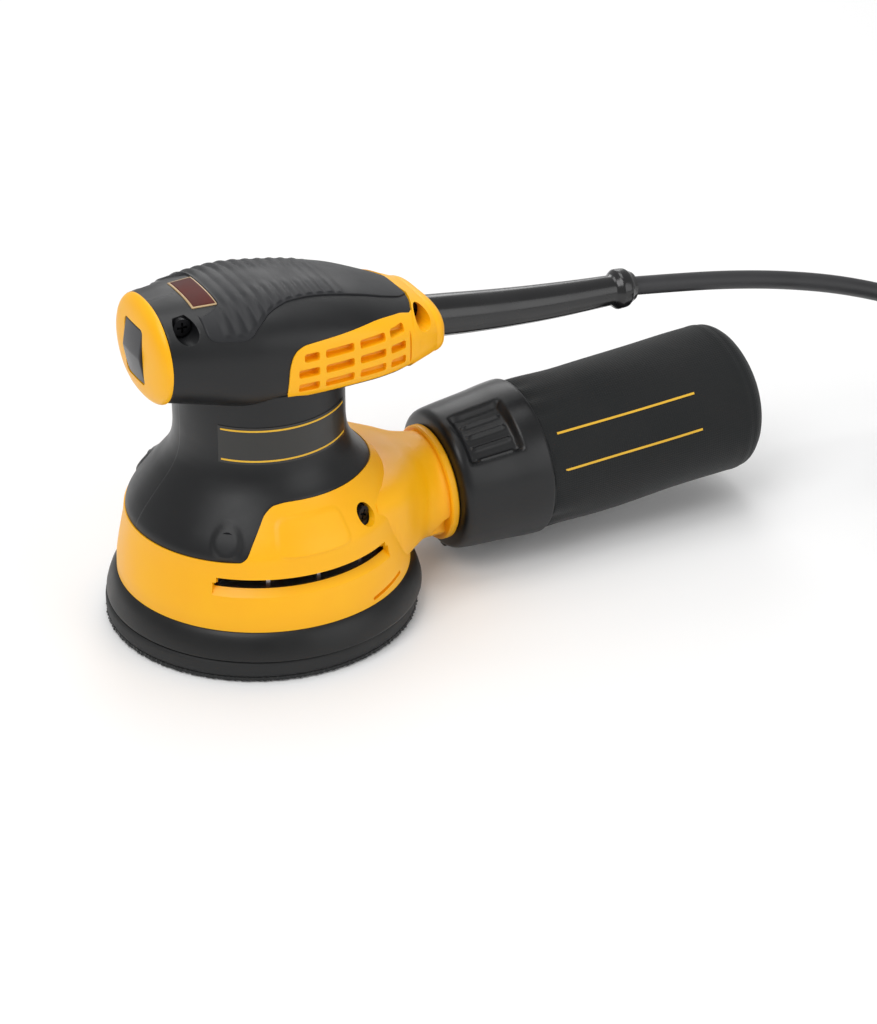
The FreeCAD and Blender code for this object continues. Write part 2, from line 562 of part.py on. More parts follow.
def make_skirt(black):
    """Yellow skirt with its duct, port and slots, its screws, and the halves they go into."""
    skirt = bell_solid(0).common(skirt_zone(0)).common(cyl(80, SKIRT_BOTTOM, 90))
    point, axis = port_frame(0)
    spigot = on_axis(ring(SPIGOT_R, SPIGOT_R - 2.0, -2.0, SPIGOT_L), point, axis)
    bore = on_axis(cyl(SPIGOT_R - 2.0, -6, SPIGOT_L + 1), point, axis)
    skirt = skirt.fuse(duct(0)).cut(bell_solid(SKIRT_WALL)).cut(duct(PORT_WALL))
    skirt = skirt.fuse(spigot).cut(bore)
    for side in (-1, 1):
        a0, a1 = sorted((side * SLOT_FROM, side * SLOT_TO))
        skirt = skirt.cut(sector(90, a0, a1, SLOT_Z0, SLOT_Z1).cut(cyl(45, 0, 90)))
    screws = []
    for angle in (-62, -130, 62, 130):
        well = radial_hole(SCREW_HEAD_R + GAP, angle, SKIRT_SCREW_Z, SKIRT_SCREW_SEAT, 80)
        skirt = skirt.cut(well)
        black = black.cut(well).cut(radial_hole(SCREW_R, angle, SKIRT_SCREW_Z, 38, 50))
        screw = hex_screw(SCREW_HEAD_R, SCREW_HEAD_H, SCREW_R, 5.0)
        d = V(math.cos(math.radians(angle)), math.sin(math.radians(angle)), 0)
        screws.append(on_axis(screw, d * (SKIRT_SCREW_SEAT + SCREW_HEAD_H) + V(0, 0, SKIRT_SCREW_Z), d))
    SHAPES["skirt_screws"] = in_one(screws)
    SHAPES["skirt"] = skirt.removeSplitter()
    black = black.removeSplitter()
    SHAPES["housing_left"] = black.common(box(-100, 200, -100, 0, 0, 200))
    SHAPES["housing_right"] = black.common(box(-100, 200, 0, 100, 0, 200))
    lip_r = SKIRT_R - SKIRT_WALL - 1.2
    inner_r = PLATE_R + ORBIT_OFFSET + 2 * GAP
    ring_z = FOAM_TOP + GAP
    SHAPES["brake_ring"] = turned([
        (inner_r, ring_z), (RING_BOTTOM_R, ring_z), (RING_R, RING_Z), (RING_R - 0.8, RING_Z + 2.4),
        (SKIRT_R + 0.4, SKIRT_BOTTOM - SEAT), (lip_r, SKIRT_BOTTOM - SEAT), (lip_r, SKIRT_BOTTOM + 3),
        (lip_r - 2.2, SKIRT_BOTTOM + 3), (lip_r - 2.2, SKIRT_BOTTOM - 4), (inner_r, RING_Z - 0.5)])


def egg(inset, x0, x1):
    """Egg-shaped plug along X, wide at the top: the front cap's outline."""
    i = inset
    top, low, w = CAP_TOP - i, CAP_LOW + i, CAP_W - i
    waist = CAP_TOP - CAP_W + 4
    face = outline([V(x0, -w, waist), (V(x0, 0, top), V(x0, w, waist)),
                    V(x0, w * 0.62, low + 9), (V(x0, 0, low), V(x0, -w * 0.62, low + 9))], V(x1 - x0, 0, 0))
    return face


def make_front():
    """Front cap around the rocker, and the blank neck label."""
    front, back = CAP_FRONT, HEAD_FRONT - SEAT
    cap = egg(0, front, back).cut(egg(WALL, front + 2.0, back + 1))
    hollow = egg(TONGUE_INSET + 1.8, back - 4, back + 6)
    tongue = egg(TONGUE_INSET, back - 2.5, back + 2.0).cut(hollow)
    lip = egg(WALL - 0.5, back - 2.5, back - 1.2).cut(hollow)
    half_w, half_h = ROCKER_W / 2 + GAP + SEAT, ROCKER_H / 2 + 2 * GAP
    window = box(front - 5, back + 8, -half_w, half_w, ROCKER_Z - half_h, ROCKER_Z + half_h)
    pin_end = ROCKER_W / 2 + ROCKER_PIN_OUT + GAP
    cheek = box(front + 1.9, back - 0.8, half_w - 0.2, pin_end + 1.2, ROCKER_Z - 3.2, ROCKER_Z + 3.2)
    pin_hole = y_hole(ROCKER_PIN_R + FIT, ROCKER_PIVOT_X, ROCKER_Z, -pin_end, pin_end)
    SHAPES["front_cap"] = fused([cap, tongue, lip] + both_sides(cheek)).cut(window).cut(pin_hole)
    label = ring(NECK_R + 0.35, NECK_R, LABEL_Z0, LABEL_Z1)
    SHAPES["neck_label"] = label.common(sector(60, LABEL_FROM, LABEL_TO, 0, 200))


def duct(inset):
    """Tapered duct behind the skirt, with the dust port's round end."""
    i = inset
    x0, x1, w0, w1 = DUCT_X0, DUCT_X1, DUCT_W0 - i, DUCT_W1 - i
    low, top = DUCT_LOW + i, DUCT_TOP - i
    taper = outline([V(x0, -w0, low), V(x1, -w1, low), V(x1, w1, low), V(x0, w0, low)], V(0, 0, top - low))
    point, axis = port_frame(0)
    port = on_axis(cyl(PORT_R - i, RING_R + 1.2 - PORT_X, -2.0 if i else 0.0), point, axis)
    return taper.fuse(port)


def port_frame(distance):
    """A point on the dust port's axis, and the axis."""
    a = math.radians(PORT_TILT)
    axis = V(math.cos(a), 0, math.sin(a))
    return V(PORT_X, 0, PORT_Z) + axis * distance, axis


# ---- bag -----------------------------------------------------------------------------------
def make_bag():
    """Collar, cloth, wire frame and clamp ring, along the dust port's axis."""
    point, axis = port_frame(0)
    end = COLLAR_L
    front = GAP
    bore = SPIGOT_R + GAP
    cloth_r = COLLAR_BACK_R - COLLAR_WALL - SEAT
    collar = turned([(bore, front), (COLLAR_MOUTH_R - 2.5, front), (COLLAR_MOUTH_R, front + 3.5),
                     (COLLAR_BACK_R, end - 6), (COLLAR_BACK_R, end), (COLLAR_BACK_R - COLLAR_WALL, end),
                     (COLLAR_BACK_R - COLLAR_WALL, SPIGOT_L + 4), (bore, SPIGOT_L + 2)])
    SHAPES["bag_collar"] = on_axis(collar, point, axis)
    start = end - COLLAR_GRIP
    mid = BAG_ROUND * (1 - math.sqrt(0.5))
    t = CLOTH_T
    cloth = turned([(cloth_r - t, start), (cloth_r, start), (cloth_r, end + SEAT), (BAG_R, end + SEAT),
                    (BAG_R, BAG_END - BAG_ROUND), (BAG_R - BAG_ROUND, BAG_END, BAG_R - mid, BAG_END - mid),
                    (0, BAG_END), (0, BAG_END - t), (BAG_R - BAG_ROUND, BAG_END - t),
                    (BAG_R - t, BAG_END - BAG_ROUND, BAG_R - mid - t * 0.7, BAG_END - mid - t * 0.7),
                    (BAG_R - t, end + SEAT + t), (cloth_r - t, end + SEAT + t)])
    SHAPES["bag_cloth"] = on_axis(cloth, point, axis)
    hoop_r = cloth_r - t - SEAT
    SHAPES["bag_hoop"] = on_axis(ring(hoop_r, hoop_r - 1.6, start + 1, start + 7), point, axis)
    side = hoop_r - 4.0
    far = BAG_END - BAG_ROUND - 6
    wire = FRAME_WIRE_R
    bend = 14.0
    path = [V(0, -side, start + 9), V(0, -side, far - bend), V(0, -side + bend, far),
            V(0, side - bend, far), V(0, side, far - bend), V(0, side, start + 9)]
    frame = wire_path(path, wire)
    foot = ring(side + wire, side - wire, start + 7.2, start + 9.4)
    SHAPES["bag_frame"] = on_axis(frame.fuse(foot).removeSplitter(), point, axis)


def wire_path(points, radius):
    """Bent wire: straight runs with round joints."""
    pieces = []
    for a, b in zip(points, points[1:]):
        pieces.append(Part.makeCylinder(radius, (b - a).Length, a, b - a))
        pieces.append(Part.makeSphere(radius, b))
    return fused(pieces[:-1])


# ---- cord ----------------------------------------------------------------------------------
def boot_axis():
    """Direction in which the boot leaves the head."""
    return V(1, 0, -0.075).normalize()


def make_cord():
    """Bend relief with its inner tail and clamp, the cord, its put-away coil and the plug."""
    a0 = boot_axis()
    a1 = (CORD_POINTS[1] - CORD_POINTS[0]).normalize()
    n, r0 = BOOT_NECK_R, BOOT_R0
    root = turned([(0, -21), (n, -21), (n, -8), (n + 1.1, -8), (n + 1.1, -3.9), (n, -3.9), (n, 0.2),
                   (r0, 0.2), (r0, BOOT_ROOT), (0, BOOT_ROOT)])
    flare_t = 1 - BOOT_FLARE_L / (BOOT_END - BOOT_START).Length
    wires = []
    for t, r in ((0.0, r0), (0.3, 7.9), (0.6, 7.1), (flare_t, BOOT_R1), (0.25 * flare_t + 0.75, BOOT_FLARE_R),
                 (1.0, BOOT_FLARE_R - 0.6)):
        direction = (a0 * (1 - t) + a1 * t).normalize()
        wires.append(Part.Wire(Part.makeCircle(r, boot_point(t), direction)))
    boot = Part.makeLoft(wires, True, True)
    SHAPES["cord_boot"] = on_axis(root, BOOT_START, a0).fuse(boot)
    saddle = box(60.0, 66.5, -11, 11, 103.4, 110.0)
    SHAPES["cord_clamp"] = saddle.cut(on_axis(cyl(BOOT_NECK_R + FIT, -40, 10), BOOT_START, a0))
    SHAPES["cord"] = cord_tube(CORD_POINTS, CORD_D / 2)
    half = COIL_W / 2
    r0, r1, soft = COIL_R - half, COIL_R + half, 5.0
    coil = turned([(r0 + soft, 0), (r1 - soft, 0), (r1, soft), (r1, COIL_H - soft), (r1 - soft, COIL_H),
                   (r0 + soft, COIL_H), (r0, COIL_H - soft), (r0, soft)])
    coil.translate(COIL_C)
    SHAPES["cord_coil"] = coil
    SHAPES["cord_tail"] = cord_tube(TAIL_POINTS, CORD_D / 2)
    d = (TAIL_POINTS[-1] - TAIL_POINTS[-2])
    d.z = 0
    d.normalize()
    body = box(-PLUG_W / 2, PLUG_W / 2, -PLUG_T / 2, PLUG_T / 2, 0, PLUG_L)
    body = body.makeFillet(4.0, body.Edges)
    turn = FreeCAD.Rotation(V(0, 0, 1).cross(d), V(0, 0, 1), d, "YZX")
    SHAPES["plug_body"] = placed(body, PLUG_FRONT, turn)
    pins = []
    for y in (-6.35, 6.35):
        pins.append(box(y - 0.75, y + 0.75, -3.15, 3.15, PLUG_L - 0.5, PLUG_L + 17))
    SHAPES["plug_blades"] = placed(in_one(pins), PLUG_FRONT, turn)
    SHAPES["plug_body"] = SHAPES["plug_body"].cut(SHAPES["plug_blades"])


def placed(shape, point, turn):
    """A copy of a shape, turned and moved."""
    moved = shape.copy()
    moved.Placement = FreeCAD.Placement(point, turn)
    return moved


def boot_point(t):
    """Point on the boot's gently bent middle line, t from 0 to 1."""
    a0 = boot_axis()
    start = BOOT_START + a0 * BOOT_ROOT
    control = start + a0 * ((BOOT_END - start).Length / 2)
    return start * (1 - t) ** 2 + control * (2 * t * (1 - t)) + BOOT_END * t ** 2


def build():
    """Build every piece."""
    make_pad()
    make_rotor()
    make_motor()
    make_switch()
    make_skirt(make_housing())
    make_front()
    make_bag()
    make_cord()


build()
os.makedirs("parts", exist_ok=True)
for name, shape in SHAPES.items():
    shape.exportStep("parts/%s.step" % name)
    print(name, len(shape.Solids), round(shape.Volume, 1), shape.isValid())
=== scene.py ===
"""Random orbital palm sander with a filter bag and a mains cord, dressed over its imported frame."""
import logging
import math
from dataclasses import dataclass
from enum import Enum
from typing import Callable, Sequence

import bpy
from mathutils import Matrix, Vector


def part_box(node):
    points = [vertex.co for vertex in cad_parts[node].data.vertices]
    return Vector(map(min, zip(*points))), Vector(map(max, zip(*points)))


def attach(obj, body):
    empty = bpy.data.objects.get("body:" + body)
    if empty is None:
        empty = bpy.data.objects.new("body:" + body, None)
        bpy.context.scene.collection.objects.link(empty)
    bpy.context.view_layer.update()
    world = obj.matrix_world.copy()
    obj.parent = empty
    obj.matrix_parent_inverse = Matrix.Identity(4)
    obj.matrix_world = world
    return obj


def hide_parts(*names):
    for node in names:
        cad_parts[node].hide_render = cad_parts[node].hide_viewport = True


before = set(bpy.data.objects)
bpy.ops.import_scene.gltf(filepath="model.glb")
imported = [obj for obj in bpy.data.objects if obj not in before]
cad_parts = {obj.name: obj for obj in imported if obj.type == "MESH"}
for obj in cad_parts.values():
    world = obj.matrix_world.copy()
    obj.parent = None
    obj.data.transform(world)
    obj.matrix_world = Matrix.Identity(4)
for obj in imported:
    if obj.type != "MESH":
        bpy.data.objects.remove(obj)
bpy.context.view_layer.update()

logging.basicConfig(level=logging.INFO, format="%(message)s")
log = logging.getLogger("sander")

MM = 0.001
Place = Callable[[float, float], Sequence[float]]


# ---- finishes ------------------------------------------------------------------------------
def linear(code: str) -> tuple[float, float, float, float]:
    """Linear colour of an sRGB hex code.

    Args:
        code: six hex digits after a hash.

    Returns:
        Red, green, blue and an alpha of one.
    """
    parts = [int(code[k:k + 2], 16) / 255.0 for k in (1, 3, 5)]
    return (*[c / 12.92 if c <= 0.04045 else ((c + 0.055) / 1.055) ** 2.4 for c in parts], 1.0)


def add_node(tree: bpy.types.NodeTree, kind: str, settings: dict | None = None,
             links: dict | None = None) -> bpy.types.Node:
    """Add a node with its settings and links.

    Args:
        tree: the material's tree.
        kind: the node's type name.
        settings: input values by socket name, or attributes when they start with a dot.
        links: output sockets by input name.

    Returns:
        The new node.
    """
    node = tree.nodes.new(kind)
    for key, value in (settings or {}).items():
        if key.startswith("."):
            setattr(node, key[1:], value)
        else:
            node.inputs[key].default_value = value
    for key, socket in (links or {}).items():
        tree.links.new(socket, node.inputs[key])
    return node


class Pattern(Enum):
    """How a surface's fine relief is laid out."""

    GRAIN = "moulded grain"
    WEAVE = "plain weave"
    HOOKS = "hook loops"
    WOUND = "wound wire"
    BRUSHED = "turned or brushed metal"


@dataclass(frozen=True)
class Finish:
    """A real material and how its surface was made."""

    name: str
    colour: str
    roughness: float
    shade: str = ""
    metallic: float = 0.0
    ior: float = 1.5
    grain_mm: float = 0.5
    depth_mm: float = 0.02
    coat: float = 0.0
    sheen: float = 0.0
    subsurface: float = 0.0
    uneven: float = 0.06
    pattern: Pattern = Pattern.GRAIN

    def build(self) -> bpy.types.Material:
        """Make the material once and return it.

        Returns:
            The material, the same one each time.
        """
        made = bpy.data.materials.get(self.name)
        if made:
            return made
        mat = bpy.data.materials.new(self.name)
        mat.use_nodes = True
        tree = mat.node_tree
        tree.nodes.clear()
        shader = add_node(tree, "ShaderNodeBsdfPrincipled", {
            "Metallic": self.metallic, "Coat Weight": self.coat, "Coat Roughness": 0.12,
            "Sheen Weight": self.sheen, "Sheen Roughness": 0.45, "Subsurface Weight": self.subsurface,
            "Subsurface Scale": 0.004})
        if not self.metallic:
            shader.inputs["IOR"].default_value = self.ior
        place = add_node(tree, "ShaderNodeTexCoord")
        where = place.outputs["UV" if self.pattern is Pattern.WEAVE else "Object"]
        relief = self.relief(tree, where)
        broad = add_node(tree, "ShaderNodeTexNoise", {"Scale": 1000.0 / 18.0, "Detail": 4.0},
                         {"Vector": place.outputs["Object"]})
        lift = add_node(tree, "ShaderNodeMapRange", {"From Min": 0.3, "From Max": 0.7}, {"Value": broad.outputs["Fac"]})
        tint = add_node(tree, "ShaderNodeMix", {".data_type": "RGBA"}, {"Factor": lift.outputs["Result"]})
        tint.inputs["A"].default_value = linear(self.colour)
        tint.inputs["B"].default_value = linear(self.shade or self.colour)
        rough = add_node(tree, "ShaderNodeMapRange", {
            "From Min": 0.3, "From Max": 0.7, "To Min": self.roughness - self.uneven,
            "To Max": self.roughness + self.uneven}, {"Value": broad.outputs["Fac"]})
        bump = add_node(tree, "ShaderNodeBump", {"Strength": 1.0, "Distance": self.depth_mm * MM},
                        {"Height": relief})
        tree.links.new(tint.outputs["Result"], shader.inputs["Base Color"])
        tree.links.new(rough.outputs["Result"], shader.inputs["Roughness"])
        tree.links.new(bump.outputs["Normal"], shader.inputs["Normal"])
        add_node(tree, "ShaderNodeOutputMaterial", links={"Surface": shader.outputs["BSDF"]})
        return mat

    def relief(self, tree: bpy.types.NodeTree, where: bpy.types.NodeSocket) -> bpy.types.NodeSocket:
        """Height of the fine relief, by pattern.

        Args:
            tree: the material's tree.
            where: the coordinates that the relief follows.

        Returns:
            A socket that gives the height from 0 to 1.
        """
        per_metre = 1000.0 / self.grain_mm
        if self.pattern is Pattern.WEAVE:
            waves = []
            for axis in ("X", "Y"):
                waves.append(add_node(tree, "ShaderNodeTexWave", {
                    ".bands_direction": axis, "Scale": per_metre / 20.0 * math.pi, "Distortion": 0.6,
                    "Detail": 1.0, "Detail Scale": 3.0}, {"Vector": where}))
            both = add_node(tree, "ShaderNodeMath", {".operation": "MAXIMUM"})
            tree.links.new(waves[0].outputs["Fac"], both.inputs[0])
            tree.links.new(waves[1].outputs["Fac"], both.inputs[1])
            return both.outputs["Value"]
        if self.pattern is Pattern.HOOKS:
            spots = add_node(tree, "ShaderNodeTexVoronoi", {"Scale": per_metre}, {"Vector": where})
            return spots.outputs["Distance"]
        if self.pattern in (Pattern.WOUND, Pattern.BRUSHED):
            lines = add_node(tree, "ShaderNodeTexWave", {
                ".bands_direction": "Z", "Scale": per_metre / 20.0 * math.pi, "Distortion": 1.0, "Detail": 2.0},
                {"Vector": where})
            return lines.outputs["Fac"]
        grain = add_node(tree, "ShaderNodeTexNoise", {"Scale": per_metre, "Detail": 3.0, "Roughness": 0.6},
                         {"Vector": where})
        return grain.outputs["Fac"]


BLACK_NYLON = Finish("glass_filled_nylon_black", "#0E0F11", 0.4, "#131416", ior=1.45, grain_mm=0.45)
YELLOW_NYLON = Finish("moulded_nylon_yellow", "#FDB403", 0.4, "#FFB906", ior=1.42, subsurface=0.04,
                      grain_mm=0.5, depth_mm=0.015)
SOFT_GRIP = Finish("overmoulded_elastomer", "#191A1D", 0.5, "#1E1F22", ior=1.42, grain_mm=0.3, depth_mm=0.03)
RING_RUBBER = Finish("moulded_rubber_ring", "#0A0B0C", 0.42, "#0F1011", ior=1.45, grain_mm=0.6, depth_mm=0.03)
PAD_FOAM = Finish("skinned_foam", "#131415", 0.62, "#1A1B1C", grain_mm=0.9, depth_mm=0.08)
HOOK_FABRIC = Finish("hook_tape", "#1B1C1D", 0.85, "#232425", grain_mm=1.1, depth_mm=0.3, sheen=0.3,
                     pattern=Pattern.HOOKS)
BAG_CLOTH = Finish("woven_polyester_black", "#0C0E0F", 0.9, "#131617", grain_mm=0.55, depth_mm=0.09,
                   sheen=0.12, pattern=Pattern.WEAVE)
COLLAR_NYLON = Finish("satin_nylon_black", "#0D0E10", 0.34, "#111214", ior=1.45, grain_mm=0.5)
BOOT_RUBBER = Finish("gloss_rubber_black", "#0A0A0C", 0.26, "#0E0E10", coat=0.3, grain_mm=0.8, depth_mm=0.01)
CORD_RUBBER = Finish("extruded_rubber_cord", "#29292B", 0.46, "#303032", grain_mm=0.7, depth_mm=0.03)
SWITCH_PLASTIC = Finish("switch_nylon", "#202024", 0.32, "#26262A", grain_mm=0.4, depth_mm=0.01)
BADGE_RED = Finish("printed_badge_maroon", "#3E0F0B", 0.55, "#5A1A10", ior=1.3, grain_mm=1.5, depth_mm=0.005)
BADGE_RIM = Finish("badge_rim_cream", "#B79A6E", 0.35, "#A98C62", grain_mm=0.5, depth_mm=0.005)
LABEL_FILM = Finish("label_film_black", "#1C1B18", 0.4, "#201F1B", coat=0.2, grain_mm=0.8, depth_mm=0.006)
PRINT_YELLOW = Finish("screen_print_yellow", "#E8B62A", 0.5, "#DFAC24", grain_mm=0.5, depth_mm=0.01)
BLACK_STEEL = Finish("blackened_steel", "#19191B", 0.45, "#222224", metallic=0.9, grain_mm=0.3, depth_mm=0.01)
BRIGHT_STEEL = Finish("ground_steel", "#B9BABD", 0.28, "#A9AAAD", metallic=1.0, grain_mm=0.4,
                      depth_mm=0.01, pattern=Pattern.BRUSHED)
SPRING_STEEL = Finish("drawn_spring_wire", "#9A9B9E", 0.32, "#8C8D90", metallic=1.0, grain_mm=0.4)
CORE_STEEL = Finish("laminated_core_steel", "#77787B", 0.45, "#6A6B6E", metallic=1.0, grain_mm=0.5,
                    depth_mm=0.06, pattern=Pattern.BRUSHED)
CAST_ALUMINIUM = Finish("die_cast_aluminium", "#C9CACC", 0.38, "#B5B6B9", metallic=1.0, grain_mm=0.8)
CAST_ZINC = Finish("die_cast_zinc", "#97989B", 0.45, "#8A8B8E", metallic=1.0, grain_mm=0.7)
COPPER_WIRE = Finish("enamelled_copper_wire", "#B0562A", 0.3, "#9C4A22", metallic=1.0, grain_mm=0.6,
                     depth_mm=0.15, pattern=Pattern.WOUND)
BRASS = Finish("drawn_brass", "#C79F4A", 0.3, "#B8903E", metallic=1.0, grain_mm=0.5)
GRAPHITE = Finish("pressed_graphite", "#242426", 0.55, "#2C2C2E", grain_mm=0.4, depth_mm=0.04)
AMBER_CASE = Finish("moulded_capacitor_case", "#8A6A1C", 0.35, "#7E6018", grain_mm=0.7)
BLUE_PVC = Finish("extruded_pvc_blue", "#1E3E8C", 0.35, "#1A377E", grain_mm=0.6)

NODE_FINISHES = {
    "housing_screws": BLACK_STEEL, "skirt_screws": BLACK_STEEL, "pad_screws": BLACK_STEEL,
    "stator_core": CORE_STEEL, "armature_core": CORE_STEEL, "field_coils": COPPER_WIRE,
    "armature_windings": COPPER_WIRE, "commutator": COPPER_WIRE, "bearing_boot": RING_RUBBER,
    "carbon_brushes": GRAPHITE, "brush_holders": BRASS, "brush_springs": SPRING_STEEL,
    "switch_body": SWITCH_PLASTIC, "switch_plate": SPRING_STEEL, "capacitor": AMBER_CASE,
    "lead_wires": BLUE_PVC, "cord_clamp": SWITCH_PLASTIC, "plug_blades": BRASS, "plug_body": BOOT_RUBBER,
    "rotor_shaft": BRIGHT_STEEL, "fan": CAST_ALUMINIUM, "counterweight": CAST_ZINC,
    "orbit_spindle": BRIGHT_STEEL, "pad_plate": COLLAR_NYLON, "bag_hoop": SPRING_STEEL,
    "bag_frame": SPRING_STEEL, "lower_bearing_outer": BRIGHT_STEEL, "lower_bearing_inner": BRIGHT_STEEL,
    "upper_bearing_outer": BRIGHT_STEEL, "upper_bearing_inner": BRIGHT_STEEL,
    "orbit_bearing_outer": BRIGHT_STEEL, "orbit_bearing_inner": BRIGHT_STEEL,
}


# ---- modelling helpers -----------------------------------------------------------------------
def deselect() -> None:
    """Nothing selected."""
    bpy.ops.object.select_all(action="DESELECT")


def choose(obj: bpy.types.Object) -> None:
    """Make one object selected and active.

    Args:
        obj: the object.
    """
    deselect()
    obj.select_set(True)
    bpy.context.view_layer.objects.active = obj


def edit(obj: bpy.types.Object, *steps: Callable[[], object]) -> None:
    """Run edit-mode steps on the whole of an object.

    Args:
        obj: the object.
        steps: operator calls, run in order with the whole mesh selected.
    """
    choose(obj)
    bpy.ops.object.mode_set(mode="EDIT")
    bpy.ops.mesh.select_all(action="SELECT")
    for step in steps:
        step()
    bpy.ops.object.mode_set(mode="OBJECT")


def modify(obj: bpy.types.Object, kind: str, **settings: object) -> None:
    """Add a modifier with its settings and apply it.

    Args:
        obj: the object.
        kind: the modifier's type name.
        settings: the modifier's attributes.
    """
    choose(obj)
    mod = obj.modifiers.new(kind.lower(), kind)
    for key, value in settings.items():
        setattr(mod, key, value)
    bpy.ops.object.modifier_apply(modifier=mod.name)


def weld(obj: bpy.types.Object, gap_mm: float = 0.01) -> None:
    """Merge coincident points and turn the faces of a closed shape outwards."""
    edit(obj, lambda: bpy.ops.mesh.remove_doubles(threshold=gap_mm * MM),
         lambda: bpy.ops.mesh.normals_make_consistent(inside=False))


def close_ends(obj: bpy.types.Object) -> None:
    """Fill the open ends of a tube and turn its faces outwards.

    Args:
        obj: the open tube.
    """
    edit(obj, lambda: bpy.ops.mesh.select_mode(type="EDGE"), lambda: bpy.ops.mesh.select_all(action="DESELECT"),
         lambda: bpy.ops.mesh.select_non_manifold(), lambda: bpy.ops.mesh.fill_holes(sides=0),
         lambda: bpy.ops.mesh.select_all(action="SELECT"), lambda: bpy.ops.mesh.normals_make_consistent(inside=False),
         lambda: bpy.ops.mesh.select_mode(type="VERT"))


def face_out(obj: bpy.types.Object, towards: Sequence[float]) -> None:
    """Give an open sheet one consistent side, which faces a direction.

    Args:
        obj: the sheet.
        towards: the direction that it faces.
    """
    edit(obj, lambda: bpy.ops.mesh.normals_make_consistent(inside=False))
    if sum(face.normal.dot(Vector(towards)) for face in obj.data.polygons) < 0:
        edit(obj, lambda: bpy.ops.mesh.flip_normals())


def soften(obj: bpy.types.Object, width_mm: float, angle: float = 35.0, segments: int = 2) -> None:
    """Round the sharp edges."""
    modify(obj, "BEVEL", width=width_mm * MM, segments=segments, limit_method="ANGLE",
           angle_limit=math.radians(angle), harden_normals=False)


def shade(obj: bpy.types.Object, angle: float = 32.0) -> None:
    """Smooth shading with crisp edges above an angle."""
    choose(obj)
    bpy.ops.object.shade_smooth_by_angle(angle=math.radians(angle))


def surface(name: str, steps_u: int, steps_v: int, place: Place) -> bpy.types.Object:
    """Grid primitive laid over a shape.

    Args:
        name: the piece's name.
        steps_u: faces along u.
        steps_v: faces along v.
        place: gives the point in millimetres for u and v, each from 0 to 1.

    Returns:
        The object, at the origin, with its place in its mesh and the grid's own UV map, not yet in metres.
    """
    deselect()
    bpy.ops.mesh.primitive_grid_add(x_subdivisions=steps_u, y_subdivisions=steps_v, size=1.0)
    obj = bpy.context.object
    obj.name = obj.data.name = name
    for vertex in obj.data.vertices:
        u = min(1.0, max(0.0, vertex.co.x + 0.5))
        v = min(1.0, max(0.0, vertex.co.y + 0.5))
        vertex.co = Vector(place(u, v)) * MM
    return obj


def cut(obj: bpy.types.Object, tool: bpy.types.Object, operation: str = "DIFFERENCE") -> None:
    """Boolean with another closed piece, which is used up."""
    modify(obj, "BOOLEAN", object=tool, operation=operation, solver="EXACT")
    bpy.data.objects.remove(tool)


def rod(radius: float, start: Sequence[float], end: Sequence[float], sides: int = 48) -> bpy.types.Object:
    """Closed cylinder between two points, in millimetres, used as a tool.

    Args:
        radius: in millimetres.
        start: centre of one end.
        end: centre of the other end.
        sides: faces round it.

    Returns:
        The cylinder, with its place in its mesh.
    """
    a, b = Vector(start) * MM, Vector(end) * MM
    deselect()
    bpy.ops.mesh.primitive_cylinder_add(vertices=sides, radius=radius * MM, depth=(b - a).length)
    obj = bpy.context.object
    turn = (b - a).to_track_quat("Z", "Y").to_matrix().to_4x4()
    obj.data.transform(Matrix.Translation((a + b) / 2) @ turn)
    return obj


def block(low: Sequence[float], high: Sequence[float], round_mm: float = 0.0) -> bpy.types.Object:
    """Closed box between two corners, in millimetres, with rounded edges if asked.

    Args:
        low: lowest corner.
        high: highest corner.
        round_mm: width of the rounded edges.

    Returns:
        The box, with its place in its mesh.
    """
    a, b = Vector(low) * MM, Vector(high) * MM
    deselect()
    bpy.ops.mesh.primitive_cube_add(size=1.0)
    obj = bpy.context.object
    obj.data.transform(Matrix.Translation((a + b) / 2) @ Matrix.Diagonal((*(b - a), 1.0)))
    if round_mm:
        modify(obj, "BEVEL", width=round_mm * MM, segments=4, limit_method="NONE")
    return obj


def join(pieces: Sequence[bpy.types.Object], name: str) -> bpy.types.Object:
    """Join pieces into one object.

    Args:
        pieces: the pieces, which are used up.
        name: the new object's name.

    Returns:
        The first piece, which now holds them all.
    """
    deselect()
    for piece in pieces:
        piece.select_set(True)
    bpy.context.view_layer.objects.active = pieces[0]
    bpy.ops.object.join()
    pieces[0].name = pieces[0].data.name = name
    return pieces[0]


def dress(obj: bpy.types.Object, finish: Finish, body: str, slot: str, *nodes: str) -> bpy.types.Object:
    """Give a finished piece its material and body, and hide the frame nodes that it stands for.

    Args:
        obj: the object.
        finish: its material.
        body: the body that it rides on.
        slot: a material slot's name, which is not used.
        nodes: frame nodes that it replaces.

    Returns:
        The same object.
    """
    obj.data.materials.clear()
    obj.data.materials.append(finish.build())
    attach(obj, body)
    if nodes:
        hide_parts(*nodes)
    log.info("%s on %s", obj.name, body)
    return obj


